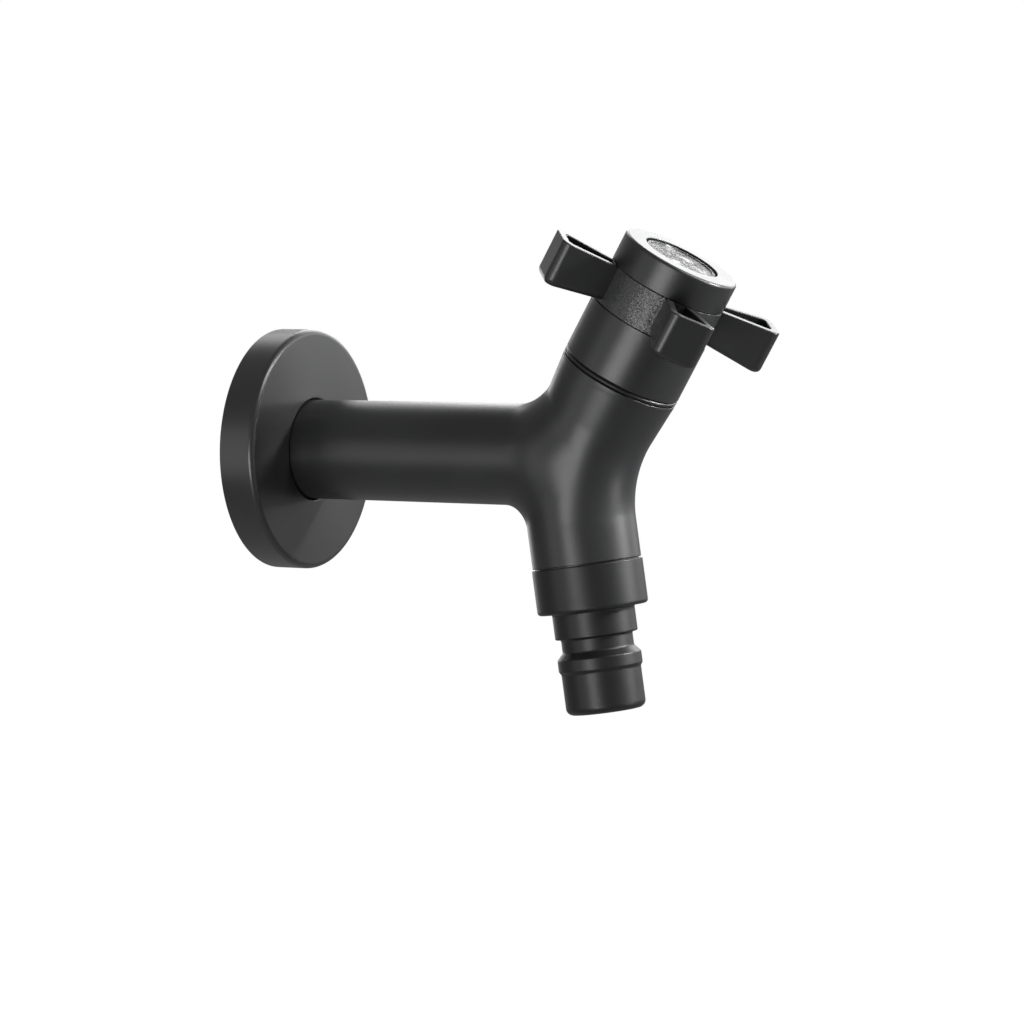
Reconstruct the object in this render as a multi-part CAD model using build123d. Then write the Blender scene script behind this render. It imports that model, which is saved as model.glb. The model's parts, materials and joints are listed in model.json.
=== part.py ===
from build123d import *
import math
import os

# A wall-mounted garden tap with a cross handle and a quarter-turn ceramic valve.
# The origin is on the inlet pipe's axis in the plane of the wall. X runs out of the wall along the pipe,
# Z is up, and the tap's branches lie in the XZ plane. Lengths are in millimetres, angles in degrees.
# Every piece round a branch is drawn about that branch's axis, with its height counted along the axis
# from the point where the axis crosses the pipe's axis.

# Thread and clearances
THREAD_RADIUS = 10.4775          # half-inch parallel pipe thread, over its crests
THREAD_PLAY = 0.03
RUNNING_CLEARANCE = 0.05
LOOSE_CLEARANCE = 0.3
SEAL_CLEARANCE = 0.02
GREASE_FILM = 0.02

# Inlet pipe and body
PIPE_RADIUS = 12.0
PIPE_START = 2.0
THREAD_REACH = 9.5
INLET_BORE_RADIUS = 7.5
INLET_BORE_DEPTH = 58.0
FEED_BORE_RADIUS = 4.5
BONNET_AXIS_X = 80.4
BONNET_TILT = 29.4
OUTLET_AXIS_X = 78.63
OUTLET_TILT = 8.65
BONNET_RADIUS = 14.35
BONNET_SEAT_HEIGHT = 21.1
WAIST_RADIUS = 13.5
LOWER_RADIUS = 12.76
LOWER_LENGTH = 25.1
BEND_RADIUS = 37.0
CROTCH_FILLET = 6.0
EDGE_ROUNDING = 0.4

# Water ways
VALVE_DEPTH = 17.1
SEAT_HOLE_RADIUS = 4.0
SEAT_HOLE_DEPTH = 5.0
CHAMBER_RADIUS = 9.3
CHAMBER_HEIGHT = 9.2
SIDE_WAY_RADIUS = 2.4
SIDE_WAY_OFFSET = 9.4
SIDE_WAY_RISE = 7.5
SIDE_WAY_BOTTOM = -11.0
OUTLET_BORE_RADIUS = 6.5
OUTLET_BORE_TOP = 9.5
SPIGOT_LENGTH = 7.3

# Wall flange
FLANGE_RADIUS = 29.04
FLANGE_DEPTH = 9.15
FLANGE_WALL = 1.6
FLANGE_FACE = 2.0
FLANGE_ROUNDING = 1.3
FLANGE_BOSS_WALL = 3.1
FLANGE_BOSS_DEPTH = 5.0
FLANGE_RING_WIRE = 1.7
FLANGE_RING_GROOVE = 1.9

# Valve cartridge
SEAL_WIDTH = 1.6
SEAL_HEIGHT = 1.8
SEAL_STAND_OUT = 0.6
DISC_RADIUS = 6.9
DISC_THICKNESS = 2.4
DISC_PORT_INNER = 1.6
DISC_PORT_OUTER = 5.2
DISC_PORT_ANGLE = 80.0
PLATE_THICKNESS = 1.8
PLATE_CORE_RADIUS = 5.2
FRICTION_WASHER_THICKNESS = 0.5
SKIRT_WALL = 1.4
WINDOW_WIDTH = 8.0
WINDOW_MARGIN = 0.6
STOP_RIB_ANGLE = 60.0
STOP_PLAY = 1.0
QUARTER_TURN = 90.0
DOG_WIDTH = 2.9
DOG_DEPTH = 1.2
DOG_INNER = 2.4
DOG_OUTER = 5.0
THREAD_RELIEF = 0.4
BODY_RING_WIRE = 1.2
BODY_RING_GROOVE = 1.5
HEX_HEIGHT = 4.0
NECK_RADIUS = 9.2
SPINDLE_RADIUS = 4.5
SPINDLE_RING_WIRE = 1.16
SPINDLE_RING_GROOVE = 1.4
SPINDLE_RING_LIFTS = (4.1, 8.6)
CLIP_THICKNESS = 0.8
CLIP_GROOVE_DEPTH = 0.8
CLIP_RADIUS = 6.4
CLIP_OPENING = 5.6
SPLINE_TEETH = 20
SPLINE_RADIUS = 4.1
SPLINE_DEPTH = 0.5
SPLINE_TIP_SHARE = 0.32          # of the pitch, across a tooth's tip
SPLINE_FOOT_SHARE = 0.72         # of the pitch, across a tooth's foot

# Bonnet
RING_HEIGHT = 1.3
RING_BEVEL = 0.42
SLEEVE_HEIGHT = 13.55
SLEEVE_WALL = 1.5
SLEEVE_LIP = 2.0

# Cross handle
HANDLE_GAP = 0.3
HUB_INSET = 0.65
HUB_HEIGHT = 9.3
HUB_RECESS_RADIUS = 10.2
HUB_RECESS_DEPTH = 2.2
CROSS_TURN = -49.6
ARM_COUNT = 4
ARM_REACH = 28.2
ARM_RISE = 0.95
ARM_WIDTH = 10.7
ARM_WALL = 1.05
ARM_FLOOR = 1.2
ARM_CORNER = 1.4
ARM_EDGE = 0.85
CAP_SPIGOT_RADIUS = 11.4
CAP_SPIGOT_HEIGHT = 2.6
CAP_HEIGHT = 7.3
CAP_INSET = 0.27
CAP_ROUNDING = 0.7
CAP_LEDGE_RADIUS = 7.2
INDEX_RADIUS = 8.7
INDEX_THICKNESS = 1.45
INDEX_SEAT_DEPTH = 1.85
INDEX_RING_WIRE = 0.7
INDEX_GAP = 0.4
INSERT_RADIUS = 6.5
INSERT_DROP = 0.25
SCREW_RADIUS = 2.0
SCREW_HEAD_RADIUS = 3.4
SCREW_HEAD_HEIGHT = 2.2
SCREW_LENGTH = 8.0
SCREW_SOCKET = 2.5
SCREW_SOCKET_DEPTH = 1.3
SCREW_WASHER_RADIUS = 4.6
SCREW_WASHER_THICKNESS = 0.6

# Hose adaptor
ADAPTOR_GAP = 0.5
COLLAR_RADIUS = 13.0
COLLAR_HEIGHT = 10.5
COLLAR_ROUNDING = 0.9
STEP_RADIUS = 9.7
STEP_HEIGHT = 6.1
GROOVE_RADIUS = 8.4
GROOVE_HEIGHT = 3.9
RIDGE_RADIUS = 9.85
RIDGE_SHOULDER = 0.9
RIDGE_HEIGHT = 3.0
NOSE_RADIUS = 9.35
NOSE_HEIGHT = 10.0
NOSE_ROUNDING = 1.1
NOZZLE_BORE_RADIUS = 6.0
NOSE_BORE_RADIUS = 7.05
NOSE_BORE_DEPTH = 6.5
OUTLET_WASHER_THICKNESS = 1.6
STRAIGHTENER_THICKNESS = 2.5
STRAIGHTENER_HOLE_RADIUS = 0.75
STRAIGHTENER_HOLE_COUNTS = (1, 6, 12)
STRAIGHTENER_CIRCLE_STEP = 2.45
STRAIGHTENER_SEAL_HEIGHT = 1.3
STRAIGHTENER_SEAL_WIDTH = 1.0

# Levels along the bonnet axis
SEAT_HEIGHT = BONNET_SEAT_HEIGHT - VALVE_DEPTH
BODY_THREAD_START = SEAT_HEIGHT + CHAMBER_HEIGHT
SEAL_TOP = SEAT_HEIGHT + SEAL_HEIGHT
FIXED_DISC_TOP = SEAL_TOP + DISC_THICKNESS
ROTATING_DISC_BOTTOM = FIXED_DISC_TOP + GREASE_FILM
ROTATING_DISC_TOP = ROTATING_DISC_BOTTOM + DISC_THICKNESS
PLATE_TOP = ROTATING_DISC_TOP + PLATE_THICKNESS
FRICTION_WASHER_BOTTOM = PLATE_TOP + GREASE_FILM
CAVITY_TOP = FRICTION_WASHER_BOTTOM + FRICTION_WASHER_THICKNESS
SIDE_WAY_TOP = SEAT_HEIGHT + SIDE_WAY_RISE
RING_TOP = BONNET_SEAT_HEIGHT + RING_HEIGHT
SLEEVE_TOP = RING_TOP + SLEEVE_HEIGHT
HUB_BOTTOM = SLEEVE_TOP + HANDLE_GAP
HUB_TOP = HUB_BOTTOM + HUB_HEIGHT
ARM_TOP = HUB_TOP + ARM_RISE
CLIP_BOTTOM = SLEEVE_TOP + HANDLE_GAP
INSERT_BOTTOM = HUB_BOTTOM + HUB_RECESS_DEPTH
INSERT_TOP = HUB_TOP - INSERT_DROP
SCREW_SEAT = INSERT_TOP + SCREW_WASHER_THICKNESS
SPINDLE_TOP = INSERT_TOP - LOOSE_CLEARANCE
CAP_TOP = HUB_TOP + CAP_HEIGHT
INDEX_SEAT = CAP_TOP - INDEX_SEAT_DEPTH

# Levels along the outlet axis
SPIGOT_END = LOWER_LENGTH + SPIGOT_LENGTH
ADAPTOR_SHOULDER = SPIGOT_END + OUTLET_WASHER_THICKNESS
COLLAR_TOP = LOWER_LENGTH + ADAPTOR_GAP
COLLAR_BOTTOM = COLLAR_TOP + COLLAR_HEIGHT
STEP_BOTTOM = COLLAR_BOTTOM + STEP_HEIGHT
GROOVE_BOTTOM = STEP_BOTTOM + GROOVE_HEIGHT
RIDGE_BOTTOM = GROOVE_BOTTOM + RIDGE_SHOULDER + RIDGE_HEIGHT
NOSE_BOTTOM = RIDGE_BOTTOM + NOSE_HEIGHT
NOSE_BORE_TOP = NOSE_BOTTOM - NOSE_BORE_DEPTH
STRAIGHTENER_TOP = NOSE_BORE_TOP + STRAIGHTENER_SEAL_HEIGHT

# Radii that follow from a fit
THREAD_BORE_RADIUS = THREAD_RADIUS + THREAD_PLAY
CAVITY_RADIUS = DISC_RADIUS + 2 * RUNNING_CLEARANCE
SKIRT_RADIUS = CAVITY_RADIUS + SKIRT_WALL
PLATE_RADIUS = CAVITY_RADIUS - LOOSE_CLEARANCE
SPINDLE_BORE_RADIUS = SPINDLE_RADIUS + RUNNING_CLEARANCE
SLEEVE_BORE_RADIUS = BONNET_RADIUS - SLEEVE_WALL
HEX_CORNER_RADIUS = SLEEVE_BORE_RADIUS - LOOSE_CLEARANCE
HUB_RADIUS = BONNET_RADIUS - HUB_INSET
CAP_RADIUS = BONNET_RADIUS - CAP_INSET
CAP_BORE_RADIUS = CAP_SPIGOT_RADIUS + RUNNING_CLEARANCE
INDEX_BORE_RADIUS = INDEX_RADIUS + INDEX_GAP
FLANGE_BORE_RADIUS = PIPE_RADIUS + LOOSE_CLEARANCE
FLANGE_BOSS_RADIUS = FLANGE_BORE_RADIUS + FLANGE_BOSS_WALL


def branch_plane(crossing_x, tilt, side):
    """Return the plane at a branch's crossing with the pipe's axis, with the branch's axis as its normal.

    The branch leans out by the tilt from straight up (side 1) or straight down (side -1).
    """
    lean = math.sin(math.radians(tilt))
    rise = math.cos(math.radians(tilt))
    return Plane(origin=(crossing_x, 0, 0), x_dir=(rise, 0, -side * lean), z_dir=(lean, 0, side * rise))


BONNET = branch_plane(BONNET_AXIS_X, BONNET_TILT, 1)
OUTLET = branch_plane(OUTLET_AXIS_X, OUTLET_TILT, -1)
INLET = Plane(origin=(0, 0, 0), x_dir=(0, 1, 0), z_dir=(1, 0, 0))


def turned(outline):
    """Return the solid of a closed outline of (radius, height) points turned about the Z axis."""
    points = [(radius, 0, height) for radius, height in outline]
    return revolve(make_face(Polyline(*points, close=True)), Axis.Z)


def rod(radius, bottom, top):
    """Return an upright cylinder between two heights."""
    return Pos(0, 0, bottom) * Cylinder(radius, top - bottom, align=(Align.CENTER, Align.CENTER, Align.MIN))


def tube(inner, outer, bottom, top):
    """Return an upright ring between two heights."""
    return turned([(inner, bottom), (outer, bottom), (outer, top), (inner, top)])


def wire_ring(middle, wire, height):
    """Return an O-ring of a given wire thickness."""
    return Pos(0, 0, height) * Torus(middle, wire / 2)


def sector(inner, outer, bottom, top, middle, width):
    """Return a slice of a ring that spans an angle about a middle angle."""
    half = math.radians(width / 2)
    corner = Vector(outer * math.cos(half), outer * math.sin(half))
    inside = Vector(inner * math.cos(half), inner * math.sin(half))
    outline = [
        Line((inside.X, -inside.Y), (corner.X, -corner.Y)),
        ThreePointArc((corner.X, -corner.Y), (outer, 0), (corner.X, corner.Y)),
        Line((corner.X, corner.Y), (inside.X, inside.Y)),
        ThreePointArc((inside.X, inside.Y), (inner, 0), (inside.X, -inside.Y)),
    ]
    slice_face = make_face(Curve() + outline)
    return Rot(0, 0, middle) * Pos(0, 0, bottom) * extrude(slice_face, top - bottom)


def edges_at(solid, radius, height):
    """Return the circular edges of a given radius at a given height."""
    circles = solid.edges().filter_by(GeomType.CIRCLE)
    return [e for e in circles
            if abs(e.radius - radius) < 1e-4 and abs(e.arc_center.Z - height) < 1e-4]


def spline_face(root, tip):
    """Return a star of trapezoid teeth between a root and a tip radius."""
    pitch = 360 / SPLINE_TEETH
    foot_half = SPLINE_FOOT_SHARE / 2
    tip_half = SPLINE_TIP_SHARE / 2
    points = []
    for tooth in range(SPLINE_TEETH):
        for share, radius in ((-foot_half, root), (-tip_half, tip), (tip_half, tip), (foot_half, root)):
            angle = math.radians((tooth + share) * pitch)
            points.append((radius * math.cos(angle), radius * math.sin(angle)))
    return make_face(Polyline(*points, close=True))


def bend_frames():
    """Return the start, end and turn of the arc that joins the two branch axes."""
    up = BONNET.z_dir
    down = OUTLET.z_dir
    gap = OUTLET_AXIS_X - BONNET_AXIS_X
    along = gap * down.Z / (up.X * down.Z - up.Z * down.X)
    corner = BONNET.origin + up * along
    turn = 180 - up.get_angle(down)
    tangent = BEND_RADIUS * math.tan(math.radians(turn / 2))
    return corner + up * tangent, corner + down * tangent, turn


def body_branches():
    """Return the bent tube from the bonnet's seat to the lower branch's end, wider at the top."""
    start, end, turn = bend_frames()
    centre = start + BONNET.x_dir * BEND_RADIUS
    steps = 4
    sections = []
    for step in range(steps + 1):
        share = step / steps
        radius = WAIST_RADIUS + (LOWER_RADIUS - WAIST_RADIUS) * share
        spoke = (start - centre).rotate(Axis.Y, -turn * share)
        normal = BONNET.z_dir.rotate(Axis.Y, -turn * share)
        sections.append(Plane(origin=centre + spoke, x_dir=(0, 1, 0), z_dir=normal) * Circle(radius))
    bend = loft(sections)
    top = BONNET.origin + BONNET.z_dir * BONNET_SEAT_HEIGHT
    upper = Plane(origin=start, x_dir=(0, 1, 0), z_dir=BONNET.z_dir) * Cone(
        WAIST_RADIUS, BONNET_RADIUS, (top - start).length, align=(Align.CENTER, Align.CENTER, Align.MIN))
    foot = OUTLET.origin + OUTLET.z_dir * LOWER_LENGTH
    lower_plane = Plane(origin=end, x_dir=(0, 1, 0), z_dir=OUTLET.z_dir)
    lower = lower_plane * rod(LOWER_RADIUS, 0, (foot - end).length)
    return upper + bend + lower


def lies_on_pipe(edge):
    """Tell whether points along an edge are all on the pipe's outer surface."""
    points = [edge @ share for share in (0.1, 0.35, 0.6, 0.85)]
    return all(abs(math.hypot(point.Y, point.Z) - PIPE_RADIUS) < 0.01 for point in points)


def tap_body():
    """One casting: inlet thread, pipe, two branches, outlet spigot and the water ways."""
    pipe = INLET * rod(PIPE_RADIUS, PIPE_START, OUTLET_AXIS_X)
    body = pipe + body_branches()
    body = fillet([e for e in body.edges().filter_by(GeomType.BSPLINE) if lies_on_pipe(e)], CROTCH_FILLET)
    body += INLET * rod(THREAD_RADIUS, -THREAD_REACH, PIPE_START)
    body += OUTLET * rod(THREAD_RADIUS, LOWER_LENGTH, SPIGOT_END)
    body -= INLET * rod(INLET_BORE_RADIUS, -THREAD_REACH, INLET_BORE_DEPTH)
    body -= INLET * rod(FEED_BORE_RADIUS, INLET_BORE_DEPTH, BONNET_AXIS_X)
    valve_hole = (rod(SEAT_HOLE_RADIUS, SEAT_HEIGHT - SEAT_HOLE_DEPTH, SEAT_HEIGHT)
                  + rod(CHAMBER_RADIUS, SEAT_HEIGHT, BODY_THREAD_START)
                  + rod(THREAD_BORE_RADIUS, BODY_THREAD_START, BONNET_SEAT_HEIGHT)
                  + Pos(SIDE_WAY_OFFSET, 0, 0) * rod(SIDE_WAY_RADIUS, SIDE_WAY_BOTTOM, SIDE_WAY_TOP))
    body -= BONNET * valve_hole
    body -= OUTLET * rod(OUTLET_BORE_RADIUS, OUTLET_BORE_TOP, SPIGOT_END)
    return body


def wall_flange():
    """A cup-shaped cover plate with a boss that rides on the pipe and holds an O-ring."""
    face_back = FLANGE_DEPTH - FLANGE_FACE
    boss_back = face_back - FLANGE_BOSS_DEPTH
    groove_middle = face_back - FLANGE_BOSS_DEPTH / 2
    groove_radius = PIPE_RADIUS + FLANGE_RING_WIRE + 2 * SEAL_CLEARANCE
    cup = turned([
        (FLANGE_BORE_RADIUS, boss_back), (FLANGE_BOSS_RADIUS, boss_back), (FLANGE_BOSS_RADIUS, face_back),
        (FLANGE_RADIUS - FLANGE_WALL, face_back), (FLANGE_RADIUS - FLANGE_WALL, 0), (FLANGE_RADIUS, 0),
        (FLANGE_RADIUS, FLANGE_DEPTH), (FLANGE_BORE_RADIUS, FLANGE_DEPTH)])
    cup = fillet(edges_at(cup, FLANGE_RADIUS, FLANGE_DEPTH), FLANGE_ROUNDING)
    cup = fillet(edges_at(cup, FLANGE_BORE_RADIUS, FLANGE_DEPTH), EDGE_ROUNDING)
    cup -= tube(PIPE_RADIUS, groove_radius, groove_middle - FLANGE_RING_GROOVE / 2,
                groove_middle + FLANGE_RING_GROOVE / 2)
    return INLET * cup


def flange_o_ring():
    """The ring that grips the pipe and keeps the flange where it is pushed."""
    middle = PIPE_RADIUS + SEAL_CLEARANCE + FLANGE_RING_WIRE / 2
    return INLET * wire_ring(middle, FLANGE_RING_WIRE, FLANGE_DEPTH - FLANGE_FACE - FLANGE_BOSS_DEPTH / 2)


def cartridge_housing():
    """The valve's brass housing: windowed skirt, thread, hexagon and neck, with the stop rib inside."""
    skirt_bottom = SEAT_HEIGHT + SEAL_STAND_OUT
    thread_start = BODY_THREAD_START + THREAD_RELIEF
    groove_bottom = BONNET_SEAT_HEIGHT - BODY_RING_GROOVE - THREAD_RELIEF
    groove_radius = THREAD_RADIUS - BODY_RING_WIRE - SEAL_CLEARANCE
    shell = turned([
        (0, skirt_bottom), (SKIRT_RADIUS, skirt_bottom), (SKIRT_RADIUS, thread_start),
        (THREAD_RADIUS, thread_start), (THREAD_RADIUS, groove_bottom), (groove_radius, groove_bottom),
        (groove_radius, groove_bottom + BODY_RING_GROOVE), (THREAD_RADIUS, groove_bottom + BODY_RING_GROOVE),
        (THREAD_RADIUS, RING_TOP), (NECK_RADIUS, RING_TOP), (NECK_RADIUS, SLEEVE_TOP), (0, SLEEVE_TOP)])
    hexagon = RegularPolygon(HEX_CORNER_RADIUS, 6)
    shell += Pos(0, 0, RING_TOP) * extrude(hexagon, HEX_HEIGHT)
    shell -= rod(CAVITY_RADIUS, skirt_bottom, CAVITY_TOP)
    shell -= rod(SPINDLE_BORE_RADIUS, CAVITY_TOP, SLEEVE_TOP)
    window_bottom = FIXED_DISC_TOP + WINDOW_MARGIN
    window_top = BODY_THREAD_START - WINDOW_MARGIN
    window = Pos(0, 0, window_bottom) * Box(WINDOW_WIDTH, 4 * SKIRT_RADIUS, window_top - window_bottom,
                                            align=(Align.CENTER, Align.CENTER, Align.MIN))
    shell -= window - rod(SKIRT_RADIUS - SKIRT_WALL, window_bottom, window_top)
    rib = sector(PLATE_CORE_RADIUS + LOOSE_CLEARANCE, CAVITY_RADIUS + SKIRT_WALL / 2,
                 ROTATING_DISC_TOP + LOOSE_CLEARANCE, CAVITY_TOP, 0, STOP_RIB_ANGLE)
    return BONNET * (shell + rib)


def cartridge_o_ring():
    """The ring that seals the housing's thread in the body."""
    middle = THREAD_RADIUS - BODY_RING_WIRE / 2
    height = BONNET_SEAT_HEIGHT - THREAD_RELIEF - BODY_RING_GROOVE / 2
    return BONNET * wire_ring(middle, BODY_RING_WIRE, height)


def cartridge_seat_seal():
    """The rubber ring between the seat and the fixed disc."""
    return BONNET * tube(DISC_RADIUS - SEAL_WIDTH, DISC_RADIUS, SEAT_HEIGHT, SEAL_TOP)


def ceramic_disc_fixed():
    """The lower disc, with two closed ports."""
    disc = rod(DISC_RADIUS, SEAL_TOP, FIXED_DISC_TOP)
    for side in (90, 270):
        disc -= sector(DISC_PORT_INNER, DISC_PORT_OUTER, SEAL_TOP, FIXED_DISC_TOP, side, DISC_PORT_ANGLE)
    return BONNET * disc


def ceramic_disc_rotating():
    """The upper disc, butterfly shaped, with two slots for the spindle's dogs."""
    disc = rod(PLATE_RADIUS, ROTATING_DISC_BOTTOM, ROTATING_DISC_TOP)
    slot_width = DOG_WIDTH + 2 * RUNNING_CLEARANCE
    slot_bottom = ROTATING_DISC_TOP - DOG_DEPTH - RUNNING_CLEARANCE
    for side in (90, 270):
        disc -= sector(DISC_PORT_INNER, 2 * PLATE_RADIUS, ROTATING_DISC_BOTTOM, ROTATING_DISC_TOP, side,
                       DISC_PORT_ANGLE)
    slot_length = DOG_OUTER - DOG_INNER + 2 * RUNNING_CLEARANCE
    for side in (-1, 1):
        disc -= Pos(side * (DOG_INNER + DOG_OUTER) / 2, 0, slot_bottom) * Box(
            slot_length, slot_width, DOG_DEPTH + RUNNING_CLEARANCE,
            align=(Align.CENTER, Align.CENTER, Align.MIN))
    return BONNET * disc


def friction_washer():
    """The slippery washer between the spindle's plate and the housing."""
    return BONNET * tube(SPINDLE_BORE_RADIUS, PLATE_CORE_RADIUS, FRICTION_WASHER_BOTTOM, CAVITY_TOP)


def spindle():
    """The stem: dogs, a plate with its stop sector, shaft, ring and clip grooves, splines, screw hole."""
    stem = rod(PLATE_CORE_RADIUS, ROTATING_DISC_TOP, PLATE_TOP)
    travel = STOP_RIB_ANGLE + QUARTER_TURN + 2 * STOP_PLAY
    end_at_rib = 360 - STOP_RIB_ANGLE / 2 - STOP_PLAY
    stop_width = 360 - travel
    stem += sector(SPINDLE_RADIUS, PLATE_RADIUS, ROTATING_DISC_TOP, PLATE_TOP, end_at_rib - stop_width / 2,
                   stop_width)
    for side in (-1, 1):
        stem += Pos(side * (DOG_INNER + DOG_OUTER) / 2, 0, ROTATING_DISC_TOP - DOG_DEPTH) * Box(
            DOG_OUTER - DOG_INNER, DOG_WIDTH, DOG_DEPTH, align=(Align.CENTER, Align.CENTER, Align.MIN))
    stem += rod(SPINDLE_RADIUS, PLATE_TOP, CLIP_BOTTOM + 2 * CLIP_THICKNESS)
    teeth = spline_face(SPLINE_RADIUS - SPLINE_DEPTH, SPLINE_RADIUS)
    spline_bottom = CLIP_BOTTOM + 2 * CLIP_THICKNESS
    stem += Pos(0, 0, spline_bottom) * extrude(teeth, SPINDLE_TOP - spline_bottom)
    for lift in SPINDLE_RING_LIFTS:
        groove_middle = CAVITY_TOP + lift
        stem -= tube(SPINDLE_RADIUS - SPINDLE_RING_WIRE, 2 * SPINDLE_RADIUS,
                     groove_middle - SPINDLE_RING_GROOVE / 2, groove_middle + SPINDLE_RING_GROOVE / 2)
    stem -= tube(SPINDLE_RADIUS - CLIP_GROOVE_DEPTH, 2 * SPINDLE_RADIUS, CLIP_BOTTOM - SEAL_CLEARANCE,
                 CLIP_BOTTOM + CLIP_THICKNESS + SEAL_CLEARANCE)
    stem -= rod(SCREW_RADIUS, SCREW_SEAT - SCREW_LENGTH - LOOSE_CLEARANCE, SPINDLE_TOP)
    return BONNET * stem


def spindle_o_ring(lift):
    """One of the two rings that seal the spindle in the housing."""
    middle = SPINDLE_RADIUS + SEAL_CLEARANCE - SPINDLE_RING_WIRE / 2
    return BONNET * wire_ring(middle, SPINDLE_RING_WIRE, CAVITY_TOP + lift)


def spindle_clip():
    """The open clip above the housing that keeps the spindle in."""
    clip = tube(SPINDLE_RADIUS - CLIP_GROOVE_DEPTH + SEAL_CLEARANCE, CLIP_RADIUS, CLIP_BOTTOM,
                CLIP_BOTTOM + CLIP_THICKNESS)
    mouth = Pos(CLIP_RADIUS, 0, CLIP_BOTTOM) * Box(2 * CLIP_RADIUS, CLIP_OPENING, CLIP_THICKNESS,
                                                   align=(Align.CENTER, Align.CENTER, Align.MIN))
    return BONNET * (clip - mouth)


def bonnet_ring():
    """The bead under the sleeve, bevelled so that a dark line shows above and below it."""
    rim = BONNET_RADIUS
    inner = THREAD_BORE_RADIUS
    return BONNET * turned([
        (inner, BONNET_SEAT_HEIGHT), (rim - RING_BEVEL, BONNET_SEAT_HEIGHT),
        (rim, BONNET_SEAT_HEIGHT + RING_BEVEL), (rim, RING_TOP - RING_BEVEL),
        (rim - RING_BEVEL, RING_TOP), (inner, RING_TOP)])


def bonnet_sleeve():
    """The shroud over the housing's hexagon, held at the neck by its inner lip."""
    lip_radius = NECK_RADIUS + THREAD_PLAY
    sleeve = turned([
        (SLEEVE_BORE_RADIUS, RING_TOP), (BONNET_RADIUS, RING_TOP), (BONNET_RADIUS, SLEEVE_TOP),
        (lip_radius, SLEEVE_TOP), (lip_radius, SLEEVE_TOP - SLEEVE_LIP),
        (SLEEVE_BORE_RADIUS, SLEEVE_TOP - SLEEVE_LIP)])
    sleeve = fillet(edges_at(sleeve, BONNET_RADIUS, RING_TOP), EDGE_ROUNDING)
    sleeve = fillet(edges_at(sleeve, BONNET_RADIUS, SLEEVE_TOP), EDGE_ROUNDING / 2)
    return BONNET * sleeve


def arm_block(inner, outer, width, bottom, corner):
    """Return an upright block along one arm up to its highest rim, with its outer corners rounded in plan."""
    size = (outer, width, ARM_TOP - bottom)
    block = Pos(0, 0, bottom) * Box(*size, align=(Align.MIN, Align.CENTER, Align.MIN))
    uprights = [e for e in block.edges().filter_by(Axis.Z) if e.center().X > outer - corner]
    return fillet(uprights, corner) - rod(inner, bottom, ARM_TOP)


def above_rim():
    """Return the wedge over an arm, whose rim rises from beside the cap to the arm's outer end."""
    rim_start = CAP_RADIUS + LOOSE_CLEARANCE
    outline = Polyline((0, 0, HUB_TOP), (rim_start, 0, HUB_TOP), (ARM_REACH, 0, ARM_TOP), (0, 0, ARM_TOP),
                       close=True)
    return extrude(make_face(outline), ARM_WIDTH / 2, both=True)


def handle_cross():
    """A hub with four open-topped box arms, a little taller at their ends, and the spigot for the cap."""
    cross = rod(HUB_RADIUS, HUB_BOTTOM, HUB_TOP)
    arm = arm_block(INSERT_RADIUS, ARM_REACH, ARM_WIDTH, HUB_BOTTOM, ARM_CORNER) - above_rim()
    bottom_rim = [e for e in arm.edges().filter_by(Plane.XY)
                  if abs(e.center().Z - HUB_BOTTOM) < 1e-4 and e.center().X > HUB_RADIUS / 2]
    arm = fillet(bottom_rim, ARM_EDGE)
    trough = arm_block(HUB_RADIUS, ARM_REACH - ARM_WALL, ARM_WIDTH - 2 * ARM_WALL, HUB_BOTTOM + ARM_FLOOR,
                       ARM_CORNER - ARM_WALL / 2)
    for number in range(ARM_COUNT):
        cross += Rot(0, 0, CROSS_TURN + number * 360 / ARM_COUNT) * arm
    for number in range(ARM_COUNT):
        cross -= Rot(0, 0, CROSS_TURN + number * 360 / ARM_COUNT) * trough
    cross += rod(CAP_SPIGOT_RADIUS, HUB_TOP, HUB_TOP + CAP_SPIGOT_HEIGHT)
    cross -= rod(CAP_LEDGE_RADIUS, HUB_TOP, HUB_TOP + CAP_SPIGOT_HEIGHT)
    cross -= rod(HUB_RECESS_RADIUS, HUB_BOTTOM, INSERT_BOTTOM)
    cross -= rod(INSERT_RADIUS, INSERT_BOTTOM, HUB_TOP)
    return BONNET * cross


def handle_insert():
    """The brass bush in the hub, with splines that fit the spindle's."""
    bush = rod(INSERT_RADIUS, INSERT_BOTTOM, INSERT_TOP)
    teeth = spline_face(SPLINE_RADIUS - SPLINE_DEPTH + RUNNING_CLEARANCE, SPLINE_RADIUS + RUNNING_CLEARANCE)
    return BONNET * (bush - Pos(0, 0, INSERT_BOTTOM) * extrude(teeth, INSERT_TOP - INSERT_BOTTOM))


def screw_washer():
    """The washer under the handle screw's head."""
    return BONNET * tube(SCREW_RADIUS + SEAL_CLEARANCE, SCREW_WASHER_RADIUS, INSERT_TOP, SCREW_SEAT)


def handle_screw():
    """The socket-head screw that holds the handle on the spindle."""
    screw = rod(SCREW_RADIUS, SCREW_SEAT - SCREW_LENGTH, SCREW_SEAT)
    head_top = SCREW_SEAT + SCREW_HEAD_HEIGHT
    screw += rod(SCREW_HEAD_RADIUS, SCREW_SEAT, head_top)
    socket = RegularPolygon(SCREW_SOCKET / 2, 6, major_radius=False)
    screw -= Pos(0, 0, head_top - SCREW_SOCKET_DEPTH) * extrude(socket, SCREW_SOCKET_DEPTH)
    return BONNET * screw


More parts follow.
